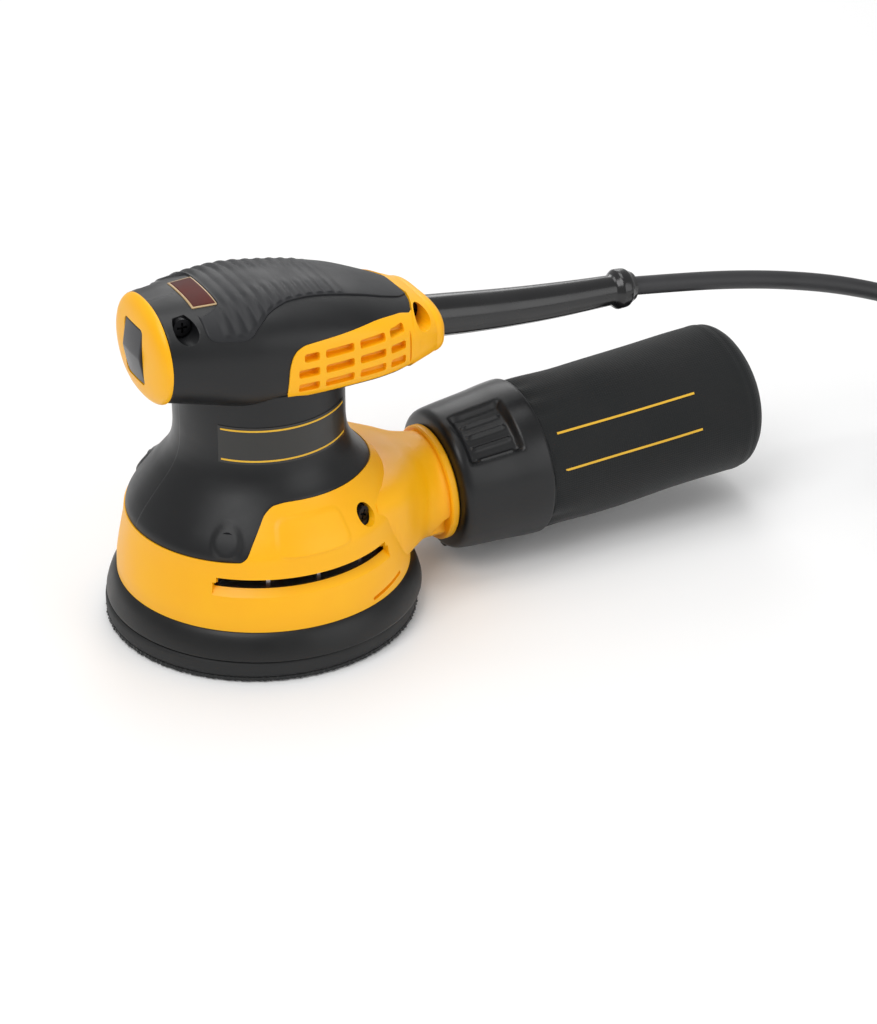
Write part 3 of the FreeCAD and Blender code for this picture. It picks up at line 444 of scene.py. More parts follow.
@dataclass(frozen=True)
class Track:
    """Smooth curve through points (x, value...), without overshoot."""

    points: tuple[tuple[float, ...], ...]

    def at(self, x: float, column: int = 1) -> float:
        """Value of a column at x.

        Args:
            x: where along the curve.
            column: which value of the points.

        Returns:
            The value, which stays the same past each end.
        """
        p = self.points
        if x <= p[0][0]:
            return p[0][column]
        if x >= p[-1][0]:
            return p[-1][column]
        k = max(i for i in range(len(p) - 1) if p[i][0] <= x)

        def slope(i: int) -> float:
            """Slope of the curve at a point.

            Args:
                i: the point's number.

            Returns:
                The slope there, which is level at a peak.
            """
            if i <= 0 or i >= len(p) - 1:
                j = min(max(i, 1), len(p) - 1)
                return (p[j][column] - p[j - 1][column]) / (p[j][0] - p[j - 1][0])
            a = (p[i][column] - p[i - 1][column]) / (p[i][0] - p[i - 1][0])
            b = (p[i + 1][column] - p[i][column]) / (p[i + 1][0] - p[i][0])
            return 0.0 if a * b <= 0 else 2 * a * b / (a + b)

        step = p[k + 1][0] - p[k][0]
        t = (x - p[k][0]) / step
        h = (2 * t**3 - 3 * t**2 + 1, (t**3 - 2 * t**2 + t) * step, -2 * t**3 + 3 * t**2, (t**3 - t**2) * step)
        return h[0] * p[k][column] + h[1] * slope(k) + h[2] * p[k + 1][column] + h[3] * slope(k + 1)


def ease(x: float) -> float:
    """Smooth step from 0 to 1."""
    x = min(1.0, max(0.0, x))
    return x * x * (3 - 2 * x)


def power(value: float, p: float) -> float:
    """Signed power, for rounded-square sections."""
    return math.copysign(abs(value) ** p, value)


# ---- shapes shared by the pieces -----------------------------------------------------------------
HEAD_SIDE = Track(((-46.2, 24.5), (-30, 29.5), (-10, 34.2), (10, 35.6), (34, 34.0), (53, 29.0), (62, 25.5), (72, 19.5)))
HEAD_TOP = Track(((-46.2, 141.2), (-30, 142.3), (-10, 142.5), (12, 140.2), (34, 135.0), (53, 127.8),
                  (64, 123.2), (72, 120.0)))
HEAD_LOW = Track(((-46.2, 102.8), (-30, 100.8), (-10, 99.8), (34, 99.8), (53, 100.2), (72, 101.4)))
HEAD_SQUARE = 2.5
HEAD_BASE_SQUARE = Track(((-46, 2.3), (-30, 2.9), (-14, 4.2), (44, 4.2), (60, 3.0), (72, 2.6)))
BELL = Track(((38.0, 54.6), (42.0, 54.2), (48.0, 53.5), (52.0, 51.5), (58.0, 47.0), (64.0, 42.0), (69.0, 38.0),
              (74.0, 35.3), (79.0, 34.0), (84.0, 33.6), (116.0, 33.6)))
SKIRT = Track(((19.3, 58.4), (24.0, 58.2), (30.0, 57.3), (36.0, 56.1), (42.0, 54.9), (48.0, 54.0), (52.0, 52.0),
               (58.0, 47.6), (64.0, 42.6), (70.0, 38.4)))
SKIRT_EDGE = Track(((0, 62.5), (17, 63.0), (48, 64.9), (85, 65.6), (100, 65.8), (107.6, 65.2), (113, 62.5),
                    (115.6, 58.8), (118.6, 53.6), (121, 48.9), (124, 47.1), (150, 46.5), (180, 46.3)))


def head_point(x: float, phi: float, proud: float = 0.0) -> Vector:
    """Point on the motor head's skin.

    Args:
        x: station along the head.
        phi: angle in radians round the section, from +Y over the top.
        proud: height above the skin.

    Returns:
        The point in millimetres.
    """
    side, top, low = HEAD_SIDE.at(x), HEAD_TOP.at(x), HEAD_LOW.at(x)
    c, s = math.cos(phi), math.sin(phi)
    square = HEAD_SQUARE if s > 0 else HEAD_BASE_SQUARE.at(x)
    y = (side + proud) * power(c, 2 / square)
    z = (top + low) / 2 + ((top - low) / 2 + proud) * power(s, 2 / square)
    return Vector((x, y, z))


def head_side(x: float, z: float, proud: float = 0.0) -> float:
    """Half width of the head's skin at a height.

    Args:
        x: station along the head.
        z: height.
        proud: distance outside the skin.

    Returns:
        The half width in millimetres.
    """
    side, top, low = HEAD_SIDE.at(x), HEAD_TOP.at(x), HEAD_LOW.at(x)
    t = min(0.999, abs(z - (top + low) / 2) / ((top - low) / 2))
    square = HEAD_SQUARE if z > (top + low) / 2 else HEAD_BASE_SQUARE.at(x)
    return side * (1 - t ** square) ** (1 / square) + proud


def around(r: float, degrees: float, z: float) -> tuple[float, float, float]:
    """Point at a radius and an angle from +X."""
    a = math.radians(degrees)
    return r * math.cos(a), r * math.sin(a), z


@dataclass(frozen=True)
class PortFrame:
    """The dust port's own axis, which the collar and the bag follow."""

    x: float = 76.0
    z: float = 34.0
    tilt: float = math.radians(2.8)

    def at(self, s: float, r: float, phi: float, lift: float = 0.0) -> tuple[float, float, float]:
        """Point at s along the axis, at radius r and angle phi from +Y towards the top.

        Args:
            s: distance along the axis.
            r: radius.
            phi: angle in radians.
            lift: upward shift across the axis.

        Returns:
            The point in millimetres.
        """
        up = r * math.sin(phi) + lift
        return (self.x + s * math.cos(self.tilt) - up * math.sin(self.tilt), r * math.cos(phi),
                self.z + s * math.sin(self.tilt) + up * math.cos(self.tilt))


PORT = PortFrame()


def turned(name: str, profile: Sequence[tuple[float, float]], sides: int = 128,
           centre: tuple[float, float] = (0.0, 0.0), closed: bool = True) -> bpy.types.Object:
    """Turned piece about an upright axis.

    Args:
        name: the piece's name.
        profile: radius and height pairs round the section.
        sides: faces round the axis.
        centre: the axis.
        closed: whether the last pair joins the first.

    Returns:
        The closed piece.
    """
    ring = list(profile) + ([profile[0]] if closed else [])
    n = len(ring) - 1
    obj = surface(name, sides, n, lambda u, v: (
        centre[0] + ring[round(v * n)][0] * math.cos(2 * math.pi * u),
        centre[1] + ring[round(v * n)][0] * math.sin(2 * math.pi * u), ring[round(v * n)][1]))
    weld(obj)
    return obj


def sector(r_in: float, r_out: float, z_low: float, z_high: float, start: float, end: float,
           steps: int = 48, slant: float = 0.0) -> bpy.types.Object:
    """Closed part of a ring, used as a tool.

    Args:
        r_in: inner radius.
        r_out: outer radius.
        z_low: lower face.
        z_high: upper face.
        start: first angle in degrees.
        end: last angle in degrees.
        steps: faces along it.
        slant: rise from the first angle to the last.

    Returns:
        The closed tool.
    """
    tool = surface("sector", steps, 1, lambda u, v: around(
        r_in + (r_out - r_in) * v, start + (end - start) * u, (z_low + z_high) / 2 + slant * (u - 0.5)))
    modify(tool, "SOLIDIFY", thickness=(z_high - z_low) * MM, offset=0.0)
    edit(tool, lambda: bpy.ops.mesh.normals_make_consistent(inside=False))
    return tool


def scale_uv(obj: bpy.types.Object, width_mm: float, length_mm: float) -> None:
    """Bring the grid's own UV map to metres."""
    for loop in obj.data.uv_layers.active.data:
        loop.uv = (loop.uv[0] * width_mm * MM, loop.uv[1] * length_mm * MM)


# ---- camera, floor and lights ------------------------------------------------------------------------
@dataclass(frozen=True)
class Studio:
    """Camera, pale floor and soft lights."""

    camera_at: tuple[float, float, float] = (-0.4212, -0.9459, 0.6222)
    right: tuple[float, float, float] = (0.8841, -0.4673, 0.0)
    up: tuple[float, float, float] = (0.2296, 0.4345, 0.8709)
    back: tuple[float, float, float] = (-0.4070, -0.7700, 0.4914)
    lens: float = 105.47

    def build(self) -> None:
        """Make the camera, floor, lights and world."""
        deselect()
        bpy.ops.object.camera_add()
        camera = bpy.context.object
        camera.name = "view"
        camera.data.lens, camera.data.sensor_width, camera.data.clip_start = self.lens, 36.0, 0.05
        turn = Matrix((self.right, self.up, self.back)).transposed().to_4x4()
        camera.matrix_world = Matrix.Translation(self.camera_at) @ turn
        bpy.context.scene.camera = camera

        bpy.ops.mesh.primitive_plane_add(size=8.0, location=(0.1, 0.0, -0.0005))
        floor = bpy.context.object
        floor.name = "floor"
        paper = bpy.data.materials.new("white_paper")
        paper.use_nodes = True
        skin = paper.node_tree.nodes["Principled BSDF"]
        skin.inputs["Base Color"].default_value = linear("#FAFAFA")
        skin.inputs["Roughness"].default_value = 0.9
        floor.data.materials.append(paper)

        self.softbox("key", (-0.55, -0.35, 1.05), (0.05, 0.0, 0.08), 0.7, 5.4)
        self.softbox("fill", (0.65, -1.1, 0.55), (0.1, 0.0, 0.08), 0.9, 3.6)
        self.softbox("top", (0.15, 0.25, 1.3), (0.1, 0.0, 0.1), 0.8, 5.0)
        self.softbox("rim", (0.5, 0.9, 0.6), (0.1, 0.0, 0.1), 0.5, 2.0)
        world = bpy.data.worlds.new("studio")
        bpy.context.scene.world = world
        world.use_nodes = True
        world.node_tree.nodes["Background"].inputs["Color"].default_value = (1.0, 1.0, 1.0, 1.0)
        world.node_tree.nodes["Background"].inputs["Strength"].default_value = 0.5
        bpy.context.scene.view_settings.view_transform = "Standard"

    def softbox(self, name: str, at: Sequence[float], towards: Sequence[float], size: float, power_w: float) -> None:
        """Square area light that faces a point.

        Args:
            name: the light's name.
            at: where it stands, in metres.
            towards: what it faces.
            size: its side in metres.
            power_w: its power in watts.
        """
        bpy.ops.object.light_add(type="AREA", location=at)
        lamp = bpy.context.object
        lamp.name = name
        lamp.data.size, lamp.data.energy = size, power_w
        lamp.rotation_euler = (Vector(towards) - Vector(at)).to_track_quat("-Z", "Y").to_euler()


# ---- cord, boot and plug ----------------------------------------------------------------------------------
@dataclass(frozen=True)
class MainsLead:
    """Boot, cord, put-away coil and plug."""

    thick: float = 7.8
    route: tuple[tuple[float, float, float], ...] = (
        (168, 0, 100.9), (191, 0, 97.6), (216, 0, 93.4), (243, 0, 87.4), (272, -0.8, 79.2), (301, -4.5, 68.6),
        (327, -12, 55.6), (350.5, -24, 41.2), (372, -39, 26.4), (388, -56, 13.0), (396, -77, 5.2), (394.5, -99, 3.9))
    coil_at: tuple[float, float] = (336.0, -90.0)
    tail: tuple[tuple[float, float, float], ...] = (
        (375, -90, 20.0), (371.5, -107, 23.6), (363, -120, 27.4), (350, -128.5, 30.8), (335.5, -132, 32.2),
        (322, -131.5, 32.2))
    turns: tuple[tuple[float, float, float], ...] = (
        (0.10, 55, 3.9), (0.86, 55, 3.9), (1.0, 47.1, 3.9), (1.86, 47.1, 3.9), (2.0, 39.2, 3.9), (2.68, 39.2, 3.9),
        (2.84, 39.2, 11.8), (3.54, 39.2, 11.8), (3.66, 47.1, 11.8), (4.54, 47.1, 11.8), (4.66, 55, 11.8),
        (5.34, 55, 11.8), (5.50, 55, 19.7), (5.66, 47.1, 19.7), (6.54, 47.1, 19.7),
        (6.68, 39.2, 19.7), (6.93, 39.2, 19.7))
    per_turn: int = 14
    length: float = 2.43

    def coil(self) -> list[tuple[float, float, float]]:
        """Control points of the put-away turns, clockwise from above.

        Returns:
            Points in millimetres, from the floor upwards.
        """
        radii = Track(tuple((t, r) for t, r, _ in self.turns))
        heights = Track(tuple((t, z) for t, _, z in self.turns))
        first, last = self.turns[0][0], self.turns[-1][0]
        count = round((last - first) * self.per_turn)
        outer = 1 / (0.75 + 0.25 * math.cos(2 * math.pi / self.per_turn))
        points = []
        for k in range(count + 1):
            t = first + (last - first) * k / count
            r, a = radii.at(t) * outer, -2 * math.pi * t
            points.append((self.coil_at[0] + r * math.cos(a), self.coil_at[1] + r * math.sin(a), heights.at(t)))
        return points

    def build(self) -> None:
        """Make the lead's pieces."""
        points = [*self.route, *self.coil(), *self.tail]
        data = bpy.data.curves.new("mains_cord", "CURVE")
        data.dimensions, data.bevel_depth = "3D", self.thick / 2 * MM
        data.bevel_resolution, data.resolution_u = 5, 6
        data.use_fill_caps = True
        line = data.splines.new("NURBS")
        line.points.add(len(points) - 1)
        for point, place in zip(line.points, points):
            point.co = (*[c * MM for c in place], 1.0)
        line.order_u, line.use_endpoint_u = 3, True
        cord = bpy.data.objects.new("mains_cord", data)
        bpy.context.scene.collection.objects.link(cord)
        dress(cord, CORD_RUBBER, "housing", "cord_rubber", "cord", "cord_coil", "cord_tail")
        plug = self.plug()
        self.boot()

    def boot(self) -> None:
        """Strain relief: a long gloss sleeve with a parting ridge and a flared end."""
        start, end = Vector((69.0, 0, 109.2)), Vector((167.4, 0, 100.9))
        along = (end - start).normalized()
        up = Vector((-along.z, 0, along.x))
        length = (end - start).length
        outline = Track(((0, 8.6), (14, 8.5), (32, 8.1), (57, 7.4), (83, 6.4), (88.6, 6.2), (90.4, 7.4),
                         (91.6, 8.2), (95.2, 8.0), (96.4, 7.2), (length, 6.0)))

        def place(u: float, v: float) -> Vector:
            """Point of the sleeve.

            Args:
                u: share of the way round.
                v: share of the length.

            Returns:
                The point in millimetres.
            """
            s, a = v * length, 2 * math.pi * u
            r = outline.at(s)
            ridge = 0.45 * math.exp(-((math.degrees(a) - 215) / 7.0) ** 2) * ease((s - 5) / 6) * ease((87 - s) / 10)
            sag = -1.5 * math.sin(math.pi * s / length)
            return start + along * s + (Vector((0, 1, 0)) * math.cos(a) + up * math.sin(a)) * (r + ridge) + up * sag

        piece = surface("cord_sleeve", 72, 150, place)
        weld(piece)
        close_ends(piece)
        shade(piece, 40)
        dress(piece, BOOT_RUBBER, "housing", "boot_rubber", "cord_boot")

    def plug(self) -> bpy.types.Object:
        """Two-pin plug body: a waisted grip with finger ribs.

        Returns:
            The dressed grip.
        """
        low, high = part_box("plug_body")
        low, high = low / MM, high / MM
        mid, half = (low + high) / 2, (high - low) / 2
        widths = Track(((0, 0.34), (0.1, 0.42), (0.3, 0.62), (0.55, 0.74), (0.75, 0.96), (1, 1.0)))

        def place(u: float, v: float) -> tuple[float, float, float]:
            """Point of the grip.

            Args:
                u: share of the way round.
                v: share of the length.

            Returns:
                The point in millimetres.
            """
            a, x = 2 * math.pi * u, high.x - v * (high.x - low.x)
            k = widths.at(v)
            rib = 0.35 * math.sin(v * 60) * ease((v - 0.12) / 0.1) * ease((0.55 - v) / 0.1)
            end = 1 - 0.12 * ease((v - 0.94) / 0.06)
            return (x, mid.y + (half.y * k * end + rib) * power(math.cos(a), 0.72),
                    mid.z + (half.z * (0.55 + 0.45 * k) * end + rib) * power(math.sin(a), 0.72))

        piece = surface("plug_grip", 64, 90, place)
        weld(piece)
        close_ends(piece)
        shade(piece, 40)
        return dress(piece, CORD_RUBBER, "housing", "cord_rubber", "plug_body")


# ---- motor housing -------------------------------------------------------------------------------------------
@dataclass(frozen=True)
class MotorHousing:
    """The black shell in two halves: head, neck and bell."""

    front: float = -45.0
    rear: float = 60.0
    screw_places: tuple[tuple[float, float, float], ...] = ((-37.8, 136.2, 15.0), (60.5, 118.6, 9.0))
    # hollow behind the front cap that the rocker swings into
    key_room: tuple[tuple[float, float, float], ...] = ((-48, -10.5, 107.5), (-41, 10.5, 136.5))
    neck_bore: float = 27.5

    def head(self) -> bpy.types.Object:
        """Closed head loft with a waist under its sides.

        Returns:
            The whole head, before it is parted.
        """
        piece = surface("head", 120, 110, lambda u, v: head_point(
            self.front + (self.rear - self.front) * v, 2 * math.pi * u))
        weld(piece)
        close_ends(piece)
        cut(piece, block(*self.key_room))
        return piece

    def bell(self, side: int) -> bpy.types.Object:
        """Neck and bell on one side, which end in a step that the skirt covers.

        Args:
            side: minus one for the near side, plus one for the far side.

        Returns:
            One side, as a thin wall.
        """
        def place(u: float, v: float) -> tuple[float, float, float]:
            """Point of the bell.

            Args:
                u: share of the half turn.
                v: share of the way down, then behind the skirt.

            Returns:
                The point in millimetres.
            """
            degrees = side * (180 * u if side > 0 else 180 - 180 * u)
            edge = SKIRT_EDGE.at(abs(degrees))
            k = round(v * 60)
            if k <= 46:
                z = 106.6 + (edge - 0.2 - 106.6) * k / 46
                away = math.hypot((abs(degrees) - 130.0) * 0.87, z - 53.8)
                return around(BELL.at(z) + 1.1 * ease((6.2 - away) / 1.6), degrees, z)
            z = edge - 0.4 + (43.6 - edge + 0.4) * (k - 47) / 13
            return around(BELL.at(z) - 3.0, degrees, z)

        piece = surface("bell", 150, 60, place)
        edit(piece, lambda: bpy.ops.mesh.normals_make_consistent(inside=False))
        if sum(p.normal.x * p.center.x + p.normal.y * p.center.y for p in piece.data.polygons) < 0:
            edit(piece, lambda: bpy.ops.mesh.flip_normals())
        modify(piece, "SOLIDIFY", thickness=1.6 * MM, offset=-1.0)
        return piece

    def build(self) -> None:
        """Make both halves with their screw wells and the hollow behind the vents."""
        head = self.head()
        for side in (-1, 1):
            cut(head, RearCap().panel_blank(side, 1.2, 2.0, 8.0))
            for (x, z, seat), rise, radius in zip(self.screw_places, (0.0, 3.0), (4.3, 5.2)):
                cut(head, rod(radius, (x, side * seat, z), (x, side * 40, z + rise)))
        cut(head, rod(self.neck_bore, (0, 0, 90), (0, 0, 121)))
        for side, name, node in ((-1, "housing_near_half", "housing_left"), (1, "housing_far_half", "housing_right")):
            crown = head.copy()
            crown.data = head.data.copy()
            bpy.context.scene.collection.objects.link(crown)
            cut(crown, block((-70, min(0, -side * 90), 10), (90, max(0, -side * 90), 160)))
            half = join([crown, self.bell(side)], name)
            soften(half, 0.25, 45)
            shade(half, 34)
            dress(half, BLACK_NYLON, "housing", "black_nylon", node)
        bpy.data.objects.remove(head)


@dataclass(frozen=True)
class NeckBand:
    """Label round the neck: a plain black film with two printed lines."""

    low: float = 79.0
    high: float = 94.4
    start: float = -142.0
    end: float = -41.0
    radius: float = 33.62

    def strip(self, name: str, low: float, high: float, proud: float, inset: float,
              finish: Finish) -> bpy.types.Object:
        """One curved strip.

        Args:
            name: the piece's name.
            low: lower edge.
            high: upper edge.
            proud: height over the neck.
            inset: degrees left free at each end.
            finish: its material.

        Returns:
            The dressed strip.
        """
        piece = surface(name, 90, 2, lambda u, v: around(
            max(BELL.at(low + (high - low) * v), self.radius) + proud,
            self.start + inset + (self.end - self.start - 2 * inset) * u, low + (high - low) * v))
        modify(piece, "SOLIDIFY", thickness=0.12 * MM, offset=1.0)
        edit(piece, lambda: bpy.ops.mesh.normals_make_consistent(inside=False))
        shade(piece)
        return dress(piece, finish, "housing", "label_film")

    def build(self) -> None:
        """Make the film and its two lines."""
        film = self.strip("neck_band", self.low, self.high, 0.12, 0.0, LABEL_FILM)
        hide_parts("neck_label")
        self.strip("neck_line_low", self.low + 1.0, self.low + 1.7, 0.25, 2.0, PRINT_YELLOW)
        self.strip("neck_line_high", self.high - 1.7, self.high - 1.0, 0.25, 2.0, PRINT_YELLOW)


# ---- skirt, duct and port ----------------------------------------------------------------------------------------
@dataclass(frozen=True)
class DustSkirt:
    """Yellow shroud over the fan, with the duct and the port on its back."""

    bottom: float = 19.3
    wall: float = 2.3
    slot_start: float = 55.6
    slot_end: float = 133.5
    slot_low: float = 36.3
    slot_high: float = 40.6
    screws: tuple[float, float] = (62.0, 130.0)
    screw_z: float = 53.8

    def shell(self) -> bpy.types.Object:
        """Shroud wall up to its stepped edge.

        Returns:
            The wall, before it is cut.
        """
        def place(u: float, v: float) -> tuple[float, float, float]:
            """Point of the shroud.

            Args:
                u: share of the turn.
                v: share of the height.

            Returns:
                The point in millimetres.
            """
            degrees = -180 + 360 * u
            z = self.bottom + (SKIRT_EDGE.at(abs(degrees)) - self.bottom) * v
            return around(SKIRT.at(z) + self.emboss(degrees, z), degrees, z)

        piece = surface("skirt_wall", 480, 90, place)
        weld(piece)
        edit(piece, lambda: bpy.ops.mesh.normals_make_consistent(inside=False))
        modify(piece, "SOLIDIFY", thickness=self.wall * MM, offset=-1.0)
        return piece

    def lip(self, start: float, end: float) -> bpy.types.Object:
        """Wedge that chamfers the slot's lower edge.

        Args:
            start: first angle in degrees.
            end: last angle in degrees.

        Returns:
            The closed tool.
        """
        section = ((53.4, 36.5), (53.4, 38.5), (63.0, 38.5), (63.0, 29.6), (57.6, 32.6))
        ring = [*section, section[0]]
        tool = surface("lip", 60, 5, lambda u, v: around(
            ring[round(v * 5)][0], start + (end - start) * u, ring[round(v * 5)][1]))
        weld(tool)
        close_ends(tool)
        return tool

    def emboss(self, degrees: float, z: float) -> float:
        """Raised rounded panel on each side.

        Args:
            degrees: angle from +X.
            z: height.

        Returns:
            How far the panel stands out there.
        """
        u, v = (abs(degrees) - 91.5) / 17.5, (z - 54.8) / 6.8
        inside = 1 - max(abs(u) ** 6 + abs(v) ** 6, 0.0)
        return 0.55 * ease(inside * 1.6)

    def duct(self) -> bpy.types.Object:
        """Duct from the shroud's back to the round port.

        Returns:
            The solid duct.
        """
        sections = Track(((30.0, 43.5, 19.6, 57.6), (44.0, 37.5, 19.4, 57.4), (56.0, 28.0, 17.0, 56.8),
                          (64.0, 22.4, 14.5, 55.8), (70.0, 21.2, 12.4, 55.9), (76.0, 22.6, 11.6, 56.6)))

        def place(u: float, v: float) -> tuple[float, float, float]:
            """Point of the duct.

            Args:
                u: share of the way round.
                v: share of the way back.

            Returns:
                The point in millimetres.
            """
            x = 30.0 + 46.0 * v
            half, low, high = sections.at(x, 1), sections.at(x, 2), sections.at(x, 3)
            p = 2 / (2 + 4 * (1 - ease((x - 34) / 40)))
            a = 2 * math.pi * u
            return x, half * power(math.cos(a), p), (low + high) / 2 + (high - low) / 2 * power(math.sin(a), p)

        piece = surface("duct_wall", 96, 40, place)
        weld(piece)
        close_ends(piece)
        heights = (5.0, 19.3, 30.0, 42.0, 48.0, 52.0, 58.0, 64.0, 70.0)
        core = [(SKIRT.at(z) - 1.2, z) for z in heights]
        cut(piece, turned("core", [(0.01, heights[0]), *core, (0.01, heights[-1])], 160))
        for side in (-1, 1):
            cut(piece, rod(14.5, (80, side * 15.5, 16), (80, side * 60, 12), 96))
        return piece

    def port(self) -> bpy.types.Object:
        """Flange and spigot.

        Returns:
            The ring of flange and spigot.
        """
        rim = [(-3.5, 22.0), (-3.5, 23.4), (-2.9, 24.0), (-0.6, 24.0), (0.0, 23.4), (0.0, 20.0), (18.0, 20.0),
               (18.0, 18.0), (-3.5, 18.0)]
        ring = rim + rim[:1]
        n = len(ring) - 1
        piece = surface("port_rim", 96, n, lambda u, v: PORT.at(
            ring[round(v * n)][0], ring[round(v * n)][1], 2 * math.pi * u))
        weld(piece)
        return piece

    def build(self) -> None:
        """Make the shroud with its slots, screw wells and duct."""
        shell = self.shell()
        duct = self.duct()
        modify(shell, "BOOLEAN", object=duct, operation="UNION", solver="EXACT")
        bpy.data.objects.remove(duct)
        cut(shell, self.port(), "UNION")
        cut(shell, rod(18.0, PORT.at(-30, 0, 0), PORT.at(30, 0, 0), 64))
        for side in (-1, 1):
            a, b = sorted((side * self.slot_start, side * self.slot_end))
            cut(shell, sector(50.0, 62.0, self.slot_low, self.slot_high, a, b))
            cut(shell, self.lip(a - 1.5, b + 1.5))
            for angle in self.screws:
                cut(shell, rod(4.3, around(40.0, side * angle, self.screw_z),
                               around(60.0, side * angle, self.screw_z + 0.6), 40))
            thin = sector(56.9, 62.0, 22.0, 23.6, *sorted((side * 48.0, side * 68.0)), steps=16, slant=side * -2.2)
            cut(shell, thin)
        soften(shell, 0.5, 38)
        shade(shell, 34)
        dress(shell, YELLOW_NYLON, "housing", "yellow_nylon", "skirt")


# ---- rear cap with the vents ------------------------------------------------------------------------------------
@dataclass(frozen=True)
class RearCap:
    """Yellow tail of the head and the two vent panels that run forward from it."""

    split: float = 53.0
    end: float = 70.6
    corner: float = 5.0
    proud: float = 0.55
    deep: float = 5.6
    columns: tuple[tuple[float, float], ...] = ((1.0, 9.6), (12.1, 24.4), (27.0, 38.6), (41.0, 48.4))
    rows: tuple[float, ...] = (109.6, 115.6, 121.8)
    slot: float = 3.5
    groove: float = 50.6
    front: float = -3.2
    high: Track = Track(((-3.2, 108.4), (-2.9, 113.0), (-2.2, 119.0), (-0.8, 123.2), (1.4, 125.6), (5, 126.9),
                         (18, 127.5), (34, 127.8), (48, 125.8), (54, 124.0)))
    low: Track = Track(((-3.2, 107.6), (-2.9, 106.2), (-1.8, 105.3), (0, 105.0), (10, 104.9), (44, 105.0), (54, 105.2)))

    def tail(self) -> bpy.types.Object:
        """Closed tail that rounds off to the sleeve's root.

        Returns:
            The closed tail.
        """
        def place(u: float, v: float) -> Vector:
            """Point of the tail.

            Args:
                u: share of the way round.
                v: share of the way back.

            Returns:
                The point in millimetres.
            """
            k = round(v * 40)
            phi = 2 * math.pi * u
            start = self.split + 8.0 * max(0.0, math.sin(phi)) ** 3
            last = self.end - self.corner
            if k <= 30:
                return head_point(start + (last - start) * k / 30, phi, self.proud)
            t = (k - 30) / 10 * math.pi / 2
            rim = head_point(last, phi, self.proud)
            inwards = Vector((0, -rim.y, 110.0 - rim.z)).normalized() * self.corner * (1 - math.cos(t))
            return Vector((last + self.corner * math.sin(t), rim.y + inwards.y, rim.z + inwards.z))

        piece = surface("tail", 96, 40, place)
        weld(piece)
        close_ends(piece)
        return piece

    def panel_blank(self, side: int, inset: float, proud: float, deep: float) -> bpy.types.Object:
        """Closed slab over the panel's outline on one side.

        Args:
            side: minus one for the near side, plus one for the far side.
            inset: how far the slab's edge stays inside the outline.
            proud: height of its outer face over the head's skin.
            deep: its thickness.

        Returns:
            The closed slab.
        """
        first, last = self.front + inset, self.split + 3.0

        def place(u: float, v: float) -> tuple[float, float, float]:
            """Point of the panel's outer face.

            Args:
                u: share of the length, finer at both ends.
                v: share of the height.

            Returns:
                The point in millimetres.
            """
            x = first + (last - first) * (u * u * (1 - u) * 0.5 + u * (1 - u * (1 - u) * 0.5))
            low, high = self.low.at(x) + inset, max(self.low.at(x) + inset + 0.4, self.high.at(x) - inset)
            z = low + (high - low) * v
            return x, side * head_side(x, z, proud), z

        piece = surface("vent_panel", 140, 36, place)
        face_out(piece, (0, side, 0))
        modify(piece, "SOLIDIFY", thickness=deep * MM, offset=-1.0)
        return piece

    def panel(self, side: int) -> bpy.types.Object:
        """Vent panel on one side with its slots.

        Args:
            side: minus one for the near side, plus one for the far side.

        Returns:
            The slotted panel.
        """
        piece = self.panel_blank(side, 0.0, self.proud, self.deep)
        for start, stop in self.columns:
            for z in self.rows:
                shift = 2.4 if (start < 2 and z > 120) else 0.0
                mid = (start + stop) / 2
                skin = head_side(mid, z, self.proud)
                inner, outer = sorted((side * (skin - (4.4 if z > 112 else 3.2)), side * (skin + 6)))
                cut(piece, block((start + shift, inner, z - self.slot / 2), (stop, outer, z + self.slot / 2), 1.0))
        x = self.groove
        skin = head_side(x, 115, self.proud)
        inner, outer = sorted((side * (skin - 1.2), side * (skin + 6)))
        cut(piece, block((x, inner, self.low.at(x) - 1), (x + 0.7, outer, self.high.at(x) + 1)))
        return piece

    def build(self) -> None:
        """Make the cap with its screw wells."""
        whole = self.tail()
        for side in (-1, 1):
            cut(whole, self.panel(side), "UNION")
        for side in (-1, 1):
            well = rod(4.6, (59.5, side * 9, 118.6), (59.5, side * 30, 121.6), 48)
            for vertex in well.data.vertices:
                vertex.co.x = 0.0595 + (vertex.co.x - 0.0595) * 0.85
            cut(whole, well)
        soften(whole, 0.45, 38)
        shade(whole, 34)
        dress(whole, YELLOW_NYLON, "housing", "yellow_nylon", "rear_cap")


